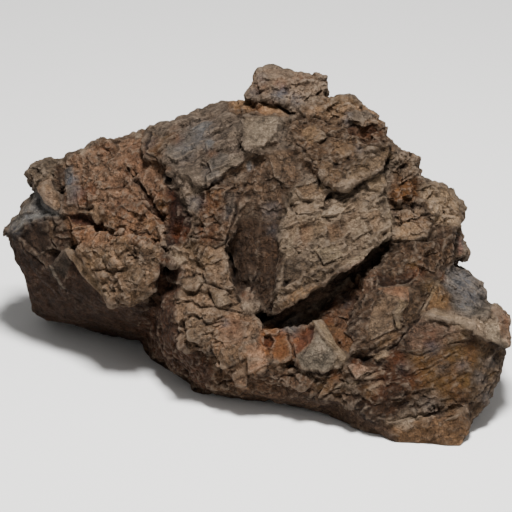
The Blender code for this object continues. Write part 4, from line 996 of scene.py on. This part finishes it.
# Colours the skin by patch, by which way it faces (painted sky sheen on top, painted shade underneath) and by
# how hollow it is (painted shade), and keeps them as attributes
def colourSkin(piece, weights, tint, crack):
    mesh = piece.data
    edges = meshEdges(mesh)
    count = len(mesh.vertices)
    points = meshPoints(mesh)
    normals = unit(spread(meshPoints(mesh, "normal"), edges, count, 2))
    places = onPaper(points)[:, :2]
    broad = unit(spread(normals, edges, count, 6))

    # Faces that turn up go greyer and lighter, as dust and painted sky sheen; faces that turn down go dark,
    # as soil and painted shade
    upDustAndSheen = smoothStep(0.25, 0.8, broad[:, 2] + 0.25 * softNoise(points, 0.04, 71, 2))
    under = smoothStep(0.05, 0.5, -broad[:, 2] + 0.15 * softNoise(points, 0.05, 72, 2))
    tone = np.repeat(linear(rock["sideTone"])[None], count, axis=0)
    tone += (linear(rock["upDustAndSheenTone"]) - tone) * upDustAndSheen[:, None]
    tone += (linear(rock["underShadeTone"]) - tone) * under[:, None]
    tones = {name: patch["tone"] for name, patch in patches.items()}
    tones.update({name: plate[2] for name, plate in plates.items()})
    for name, (here, weight) in weights.items():
        tone[here] += (linear(tones[name]) - tone[here]) * weight[:, None]

    near = nearSide(normals)
    speck = softNoise(points, 0.018, 81, 3)
    masks = {}
    for name, spots in stains.items():
        mask = np.zeros(count)
        for x, y, reach, strength in spots:
            gap = np.hypot(places[:, 0] - x, places[:, 1] - y) / reach
            mask = np.maximum(mask, strength * np.clip(1.35 - gap + 0.45 * speck, 0, 1))
        masks[name] = mask * near

    # Far side: the same colours in patches of noise
    far = 1 - near
    masks["rust"] += far * smoothStep(0.25, 0.8, softNoise(points, 0.09, 91, 3)) * 0.7
    masks["ochre"] += far * smoothStep(0.35, 0.9, softNoise(points, 0.11, 92, 3)) * 0.7
    # Grey-blue only on faces that turn up: partly painted sky sheen
    masks["blueAndSheen"] += far * upDustAndSheen * smoothStep(0.0, 0.7, softNoise(points, 0.08, 93, 3)) * 0.7
    masks["creamAndHighlight"] += far * smoothStep(0.5, 1.0, softNoise(points, 0.05, 94, 2)) * 0.5

    # Hollowness: how far a point lies under the average of its surroundings, near and far; it darkens the
    # hollows as painted shade
    fine = ((spread(points, edges, count, 3) - points) * normals).sum(axis=1)
    broadly = ((spread(points, edges, count, 24) - points) * normals).sum(axis=1)
    hollowShade = np.clip(smoothStep(0.0005, 0.0020, fine) * 0.6 + smoothStep(0.001, 0.006, broadly) * 0.5, 0, 1)
    # How far a point stands out over its surroundings: pale edges, partly wear and partly painted highlight
    edgeWearAndHighlight = np.clip(smoothStep(0.0002, 0.0011, -fine) * 0.8 + smoothStep(0.0005, 0.005, -broadly) * 0.3, 0, 1)

    # The hollows and the cracks go into the hollow attribute as painted shade; the edges as wear with painted
    # highlight
    addAttribute(mesh, "tone", np.concatenate([tone, np.ones((count, 1))], axis=1))
    addAttribute(mesh, "tint", tint)
    addAttribute(mesh, "hollowShade", np.maximum(hollowShade, smoothStep(0.0, 0.006, crack)))
    addAttribute(mesh, "edgeWearAndHighlight", edgeWearAndHighlight)
    for name, mask in masks.items():
        addAttribute(mesh, name, np.clip(mask, 0, 1))
    print("skin coloured:", len(weights), "patches and plates,", sum(map(len, stains.values())), "stains")


# Fewer triangles, most of them kept on the near side: a point with a high weight is thinned out more
def thinOut(piece):
    piece.data.calc_loop_triangles()
    near = nearSide(meshPoints(piece.data, "normal"))
    thinned = piece.vertex_groups.new(name="thinned")
    shown = near >= rock["nearFrom"]
    for weight, chosen in ((0.02, shown), (0.98, ~shown)):
        thinned.add(np.flatnonzero(chosen).tolist(), weight, "REPLACE")
    decimate = piece.modifiers.new("thin out", "DECIMATE")
    decimate.ratio = min(1.0, rock["triangles"] / len(piece.data.loop_triangles))
    decimate.use_collapse_triangulate = True
    decimate.vertex_group = thinned.name
    decimate.vertex_group_factor = rock["nearKept"]
    applyModifiers(piece)
    piece.vertex_groups.clear()
    kept = nearSide(meshPoints(piece.data, "normal")) >= rock["nearFrom"]
    print("near points kept:", int(kept.sum()), "of", len(kept))
    piece.data.shade_smooth()
    piece.data.set_sharp_from_angle(angle=math.radians(rock["sharpAngle"]))
    print("skin thinned out:", len(piece.data.polygons), "triangles")


def addNode(tree, kind, inputs=None, **settings):
    node = tree.nodes.new(kind)
    for name, value in settings.items():
        setattr(node, name, value)
    for name, value in (inputs or {}).items():
        socket = node.inputs[name]
        if isinstance(value, bpy.types.NodeSocket):
            tree.links.new(value, socket)
        else:
            socket.default_value = value
    return node


def mathNode(tree, operation, first, second=0.0, clamp=False):
    node = addNode(tree, "ShaderNodeMath", {0: first, 1: second}, operation=operation, use_clamp=clamp)
    return node.outputs[0]


def vectorNode(tree, operation, first, second=(0, 0, 0), scale=1.0):
    inputs = {0: first, 1: second, 3: scale}
    node = addNode(tree, "ShaderNodeVectorMath", inputs, operation=operation)
    return node.outputs["Value" if operation in ("DOT_PRODUCT", "LENGTH") else "Vector"]


def noiseNode(tree, place, scale, detail, roughness=0.5, distortion=0.0):
    inputs = {"Vector": place, "Scale": scale, "Detail": detail}
    inputs.update({"Roughness": roughness, "Distortion": distortion})
    return addNode(tree, "ShaderNodeTexNoise", inputs)


# A value stretched from one range to another and held inside it
def ranged(tree, value, fromLow, fromHigh, toLow, toHigh):
    ends = {"From Min": fromLow, "From Max": fromHigh, "To Min": toLow, "To Max": toHigh}
    return addNode(tree, "ShaderNodeMapRange", {"Value": value, **ends}).outputs[0]


# One plus a share of a value that lies round 0
def aroundOne(tree, value, share):
    return mathNode(tree, "ADD", mathNode(tree, "MULTIPLY", value, share), 1.0)


# One colour over another by a factor
def mixColour(tree, factor, under, over, blend="MIX"):
    inputs = {0: factor, 6: under, 7: over}
    return addNode(tree, "ShaderNodeMix", inputs, data_type="RGBA", blend_type=blend).outputs[2]


def readAttribute(tree, name, field="Fac"):
    return addNode(tree, "ShaderNodeAttribute", attribute_name=name).outputs[field]


# A node group with these inputs and outputs: pairs of a name and a socket kind
def newGroup(name, inputs, outputs):
    tree = bpy.data.node_groups.new(name, "ShaderNodeTree")
    for socket, kind in inputs:
        tree.interface.new_socket(socket, in_out="INPUT", socket_type=kind)
    for socket, kind in outputs:
        tree.interface.new_socket(socket, in_out="OUTPUT", socket_type=kind)
    return tree, tree.nodes.new("NodeGroupInput").outputs, tree.nodes.new("NodeGroupOutput").inputs


def groupNode(tree, group, inputs):
    return addNode(tree, "ShaderNodeGroup", inputs, node_tree=group)


# Small broken facets: the height over each cell of a warped Voronoi pattern is the way from the cell's middle
# dotted with the cell's own random direction
def facetGroup():
    tree, given, result = newGroup(
        "small facets",
        [("Position", "NodeSocketVector"), ("Scale", "NodeSocketFloat"), ("Warp", "NodeSocketFloat")],
        [("Height", "NodeSocketFloat"), ("Tint", "NodeSocketFloat")],
    )
    noise = noiseNode(tree, given["Position"], given["Scale"], 2.0)
    centred = vectorNode(tree, "SUBTRACT", noise.outputs["Color"], (0.5, 0.5, 0.5))
    shift = vectorNode(tree, "SCALE", centred, scale=given["Warp"])
    place = vectorNode(tree, "ADD", given["Position"], shift)
    cells = addNode(tree, "ShaderNodeTexVoronoi", {"Vector": place, "Scale": given["Scale"]})
    away = vectorNode(tree, "SUBTRACT", place, cells.outputs["Position"])
    scaled = vectorNode(tree, "SCALE", away, scale=given["Scale"])
    lean = vectorNode(tree, "SUBTRACT", cells.outputs["Color"], (0.5, 0.5, 0.5))
    tint = addNode(tree, "ShaderNodeSeparateColor", {0: cells.outputs["Color"]})
    tree.links.new(vectorNode(tree, "DOT_PRODUCT", scaled, lean), result["Height"])
    tree.links.new(tint.outputs[0], result["Tint"])
    return tree


# Thin cracks: the borders of warped Voronoi cells of two sizes, open only where a cloud of noise lets them be
def veinGroup():
    tree, given, result = newGroup(
        "thin cracks", [("Position", "NodeSocketVector")], [("Crack", "NodeSocketFloat")]
    )
    noise = noiseNode(tree, given["Position"], 38.0, 4.0)
    centred = vectorNode(tree, "SUBTRACT", noise.outputs["Color"], (0.5, 0.5, 0.5))
    place = vectorNode(tree, "ADD", given["Position"], vectorNode(tree, "SCALE", centred, scale=0.022))
    cloud = noiseNode(tree, given["Position"], 24.0, 2.0)
    openness = ranged(tree, cloud.outputs["Fac"], 0.5, 0.66, 0.0, 1.0)
    total = 0.0
    for scale, width in ((34.0, 0.035), (78.0, 0.05)):
        inputs = {"Vector": place, "Scale": scale}
        cells = addNode(tree, "ShaderNodeTexVoronoi", inputs, feature="DISTANCE_TO_EDGE")
        line = ranged(tree, cells.outputs["Distance"], 0.0, width, 1.0, 0.0)
        total = mathNode(tree, "MAXIMUM", line, total)
    tree.links.new(mathNode(tree, "MULTIPLY", total, openness), result["Crack"])
    return tree


# Streaks: noise drawn out along the grain, a direction whose length is how strong the streaks are
def streakGroup():
    tree, given, result = newGroup(
        "streaks",
        [("Position", "NodeSocketVector"), ("Grain", "NodeSocketVector"), ("Scale", "NodeSocketFloat")],
        [("Streak", "NodeSocketFloat")],
    )
    way = vectorNode(tree, "NORMALIZE", given["Grain"])
    strength = vectorNode(tree, "LENGTH", given["Grain"])
    along = mathNode(tree, "MULTIPLY", vectorNode(tree, "DOT_PRODUCT", given["Position"], way), 0.86)
    place = vectorNode(tree, "SUBTRACT", given["Position"], vectorNode(tree, "SCALE", way, scale=along))
    noise = noiseNode(tree, place, given["Scale"], 5.0, 0.65, 0.15)
    centred = mathNode(tree, "SUBTRACT", noise.outputs["Fac"], 0.5)
    tree.links.new(mathNode(tree, "MULTIPLY", centred, strength), result["Streak"])
    return tree


stone = {
    # Near black: thin cracks, and the painted shade in hollows
    "soilAndShade": (0.006, 0.003, 0.002, 1),
    # Pale tan for the edges: dust and painted highlight
    "dustAndHighlight": (0.140, 0.105, 0.076, 1),
    "rust": (0.075, 0.022, 0.006, 1),
    "ochre": (0.072, 0.040, 0.013, 1),
    # Grey-blue, partly painted sky sheen
    "blueAndSheen": (0.050, 0.054, 0.062, 1),
    # Cream: pale stone, and painted highlights on the near side
    "creamAndHighlight": (0.180, 0.130, 0.088, 1),
    "stainShare": {"rust": 0.85, "ochre": 0.8, "blueAndSheen": 0.75, "creamAndHighlight": 0.8},
    "gain": 0.345,  # turns the tones, which are those of the stone under lights, into its own
    "warmth": (1.05, 0.98, 0.90, 1),
    "cloudTone": (1.18, 0.90, 0.70, 1),
    "crumbTint": 0.16,  # how much lighter or darker a crumb may be
    "mottle": (0.84, 1.16),  # darkest and lightest, and so on for the next two
    "grit": (0.72, 1.28),
    "chips": (0.78, 1.22),
    "reliefLight": 0.7,  # how much the fine relief and the streaks lighten and darken the stone
    "streakLight": 1.7,
    "crackShare": 0.5,
    "edgeShare": 0.6,
    "hollowShare": 0.7,
    "roughness": (0.92, 0.62),  # of the stone, and where it is bare and grey-blue
    "bump": 0.0032,
    "heights": {"small": 2.6, "tiny": 1.1, "veins": -0.6, "mottle": 0.4, "streak": 1.6, "grit": 0.35},
}


# Broken stone: patch tones, a tint for each crumb, fine mottling, stains, painted shade in hollows and pale
# edges, worn and painted highlight
def stoneMaterial():
    material = bpy.data.materials.new("stone")
    material.use_nodes = True
    tree = material.node_tree
    shader = tree.nodes["Principled BSDF"]
    place = addNode(tree, "ShaderNodeTexCoord").outputs["Object"]
    facets = facetGroup()
    small = groupNode(tree, facets, {"Position": place, "Scale": 110.0, "Warp": 0.006}).outputs
    tiny = groupNode(tree, facets, {"Position": place, "Scale": 300.0, "Warp": 0.002}).outputs
    veins = groupNode(tree, veinGroup(), {"Position": place}).outputs["Crack"]
    mottle = noiseNode(tree, place, 75.0, 8.0, 0.7).outputs["Fac"]
    grit = noiseNode(tree, place, 420.0, 5.0, 0.7).outputs["Fac"]
    cloud = noiseNode(tree, place, 11.0, 5.0, 0.6).outputs["Fac"]
    streaks = streakGroup()
    grain = readAttribute(tree, "grain", "Vector")
    broad = groupNode(tree, streaks, {"Position": place, "Grain": grain, "Scale": 95.0}).outputs[0]
    thin = groupNode(tree, streaks, {"Position": place, "Grain": grain, "Scale": 260.0}).outputs[0]
    streak = mathNode(tree, "ADD", broad, mathNode(tree, "MULTIPLY", thin, 0.8))
    relief = mathNode(tree, "ADD", small["Height"], mathNode(tree, "MULTIPLY", tiny["Height"], 0.8))

    # The patch's tone, lighter or darker by crumb, mottling, grit, chips, relief and streaks
    gritLight = ranged(tree, grit, 0.3, 0.7, *stone["grit"])
    light = aroundOne(tree, readAttribute(tree, "tint"), stone["crumbTint"])
    for factor in (
        ranged(tree, mottle, 0.3, 0.7, *stone["mottle"]),
        gritLight,
        ranged(tree, small["Tint"], 0.0, 1.0, *stone["chips"]),
        aroundOne(tree, relief, stone["reliefLight"]),
        aroundOne(tree, streak, stone["streakLight"]),
        ranged(tree, tiny["Tint"], 0.0, 1.0, *stone["chips"]),
        stone["gain"],
    ):
        light = mathNode(tree, "MULTIPLY", light, factor)
    colour = vectorNode(tree, "SCALE", readAttribute(tree, "tone", "Color"), scale=light)
    colour = mixColour(tree, 1.0, colour, stone["warmth"], "MULTIPLY")

    # Warmer and greyer clouds
    warm = mathNode(tree, "MULTIPLY", mathNode(tree, "SUBTRACT", cloud, 0.5), 2.4, clamp=True)
    colour = mixColour(tree, mathNode(tree, "MULTIPLY", warm, 0.5), colour, stone["cloudTone"], "MULTIPLY")

    # Stains, each broken up by the mottling; the grey-blue and cream ones are partly painted sheen and
    # highlights
    broken = ranged(tree, mottle, 0.35, 0.6, 0.35, 1.0)
    for name, share in stone["stainShare"].items():
        amount = mathNode(tree, "MULTIPLY", readAttribute(tree, name), broken)
        stain = mixColour(tree, 1.0, stone[name], gritLight, "MULTIPLY")
        colour = mixColour(tree, mathNode(tree, "MULTIPLY", amount, share), colour, stain)

    # Thin dark cracks that come and go, pale edges, worn and painted highlight, then painted shade in the
    # hollows
    for mask, share, over in (
        (veins, stone["crackShare"], stone["soilAndShade"]),
        (readAttribute(tree, "edgeWearAndHighlight"), stone["edgeShare"], stone["dustAndHighlight"]),
        (readAttribute(tree, "hollowShade"), stone["hollowShare"], stone["soilAndShade"]),
    ):
        colour = mixColour(tree, mathNode(tree, "MULTIPLY", mask, share), colour, over)
    tree.links.new(colour, shader.inputs["Base Color"])

    # Relief finer than the skin's
    height = 0.0
    forms = {
        "small": small["Height"], "tiny": tiny["Height"], "veins": veins,
        "mottle": mottle, "streak": streak, "grit": grit,
    }
    for name, form in forms.items():
        height = mathNode(tree, "ADD", height, mathNode(tree, "MULTIPLY", form, stone["heights"][name]))
    bump = addNode(tree, "ShaderNodeBump", {"Height": height, "Strength": 1.0, "Distance": stone["bump"]})
    tree.links.new(bump.outputs["Normal"], shader.inputs["Normal"])

    rough = ranged(tree, readAttribute(tree, "blueAndSheen"), 0.0, 1.0, *stone["roughness"])
    tree.links.new(rough, shader.inputs["Roughness"])
    shader.inputs["Specular IOR Level"].default_value = 0.15
    return material


def makeRock():
    piece = fineSkin()
    print("fine skin:", len(piece.data.vertices), "points")
    weights, tint, crack = breakSkin(piece)
    colourSkin(piece, weights, tint, crack)
    thinOut(piece)
    piece.data.materials.clear()
    piece.data.materials.append(stoneMaterial())
    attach(piece, "root")
    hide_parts("rock")
    return piece


studio = {
    "floorTone": (0.80, 0.79, 0.77, 1),
    "floorSize": 60.0,
    "sky": 0.27,
    "key": 600.0,
    "keyPlace": (0.3, -0.95, 4.5),
    "keySize": 1.0,
    "fill": 26.0,
    "fillPlace": (2.6, -3.2, 1.8),
    "fillSize": 2.5,
    "cameraDistance": 8.0,
    "sensor": 36.0,
    "frameSteps": 512.0,  # the paper's width that the camera sees
}


def makeFloor():
    bpy.ops.mesh.primitive_plane_add(size=studio["floorSize"], location=(0, 0, 0))
    floor = bpy.context.object
    floor.name = "floor"
    material = bpy.data.materials.new("floor")
    material.use_nodes = True
    shader = material.node_tree.nodes["Principled BSDF"]
    shader.inputs["Base Color"].default_value = studio["floorTone"]
    shader.inputs["Roughness"].default_value = 0.9
    floor.data.materials.append(material)


def areaLight(name, power, place, size):
    light = bpy.data.lights.new(name, "AREA")
    light.energy = power
    light.size = size
    lamp = bpy.data.objects.new(name, light)
    lamp.location = place
    lamp.rotation_euler = (Vector((0, 0, 0.25)) - Vector(place)).to_track_quat("-Z", "Y").to_euler()
    bpy.context.scene.collection.objects.link(lamp)


def makeLights():
    world = bpy.data.worlds.new("studio")
    bpy.context.scene.world = world
    world.use_nodes = True
    world.node_tree.nodes["Background"].inputs[0].default_value = (1, 1, 1, 1)
    world.node_tree.nodes["Background"].inputs[1].default_value = studio["sky"]
    areaLight("key", studio["key"], studio["keyPlace"], studio["keySize"])
    areaLight("fill", studio["fill"], studio["fillPlace"], studio["fillSize"])


# The camera looks square at the paper's centre, with a long lens that takes in the paper's width
def makeCamera():
    view = bpy.data.cameras.new("camera")
    view.sensor_width = studio["sensor"]
    width = studio["frameSteps"] * paper["step"]
    view.lens = studio["sensor"] * studio["cameraDistance"] / width
    view.clip_end = 100
    camera = bpy.data.objects.new("camera", view)
    out = Vector(paperDirection(0, 0, 1))
    camera.location = Vector(paper["place"]) + out * studio["cameraDistance"]
    camera.rotation_euler = (-out).to_track_quat("-Z", "Y").to_euler()
    bpy.context.scene.collection.objects.link(camera)
    bpy.context.scene.camera = camera


makeRock()
makeFloor()
makeLights()
makeCamera()
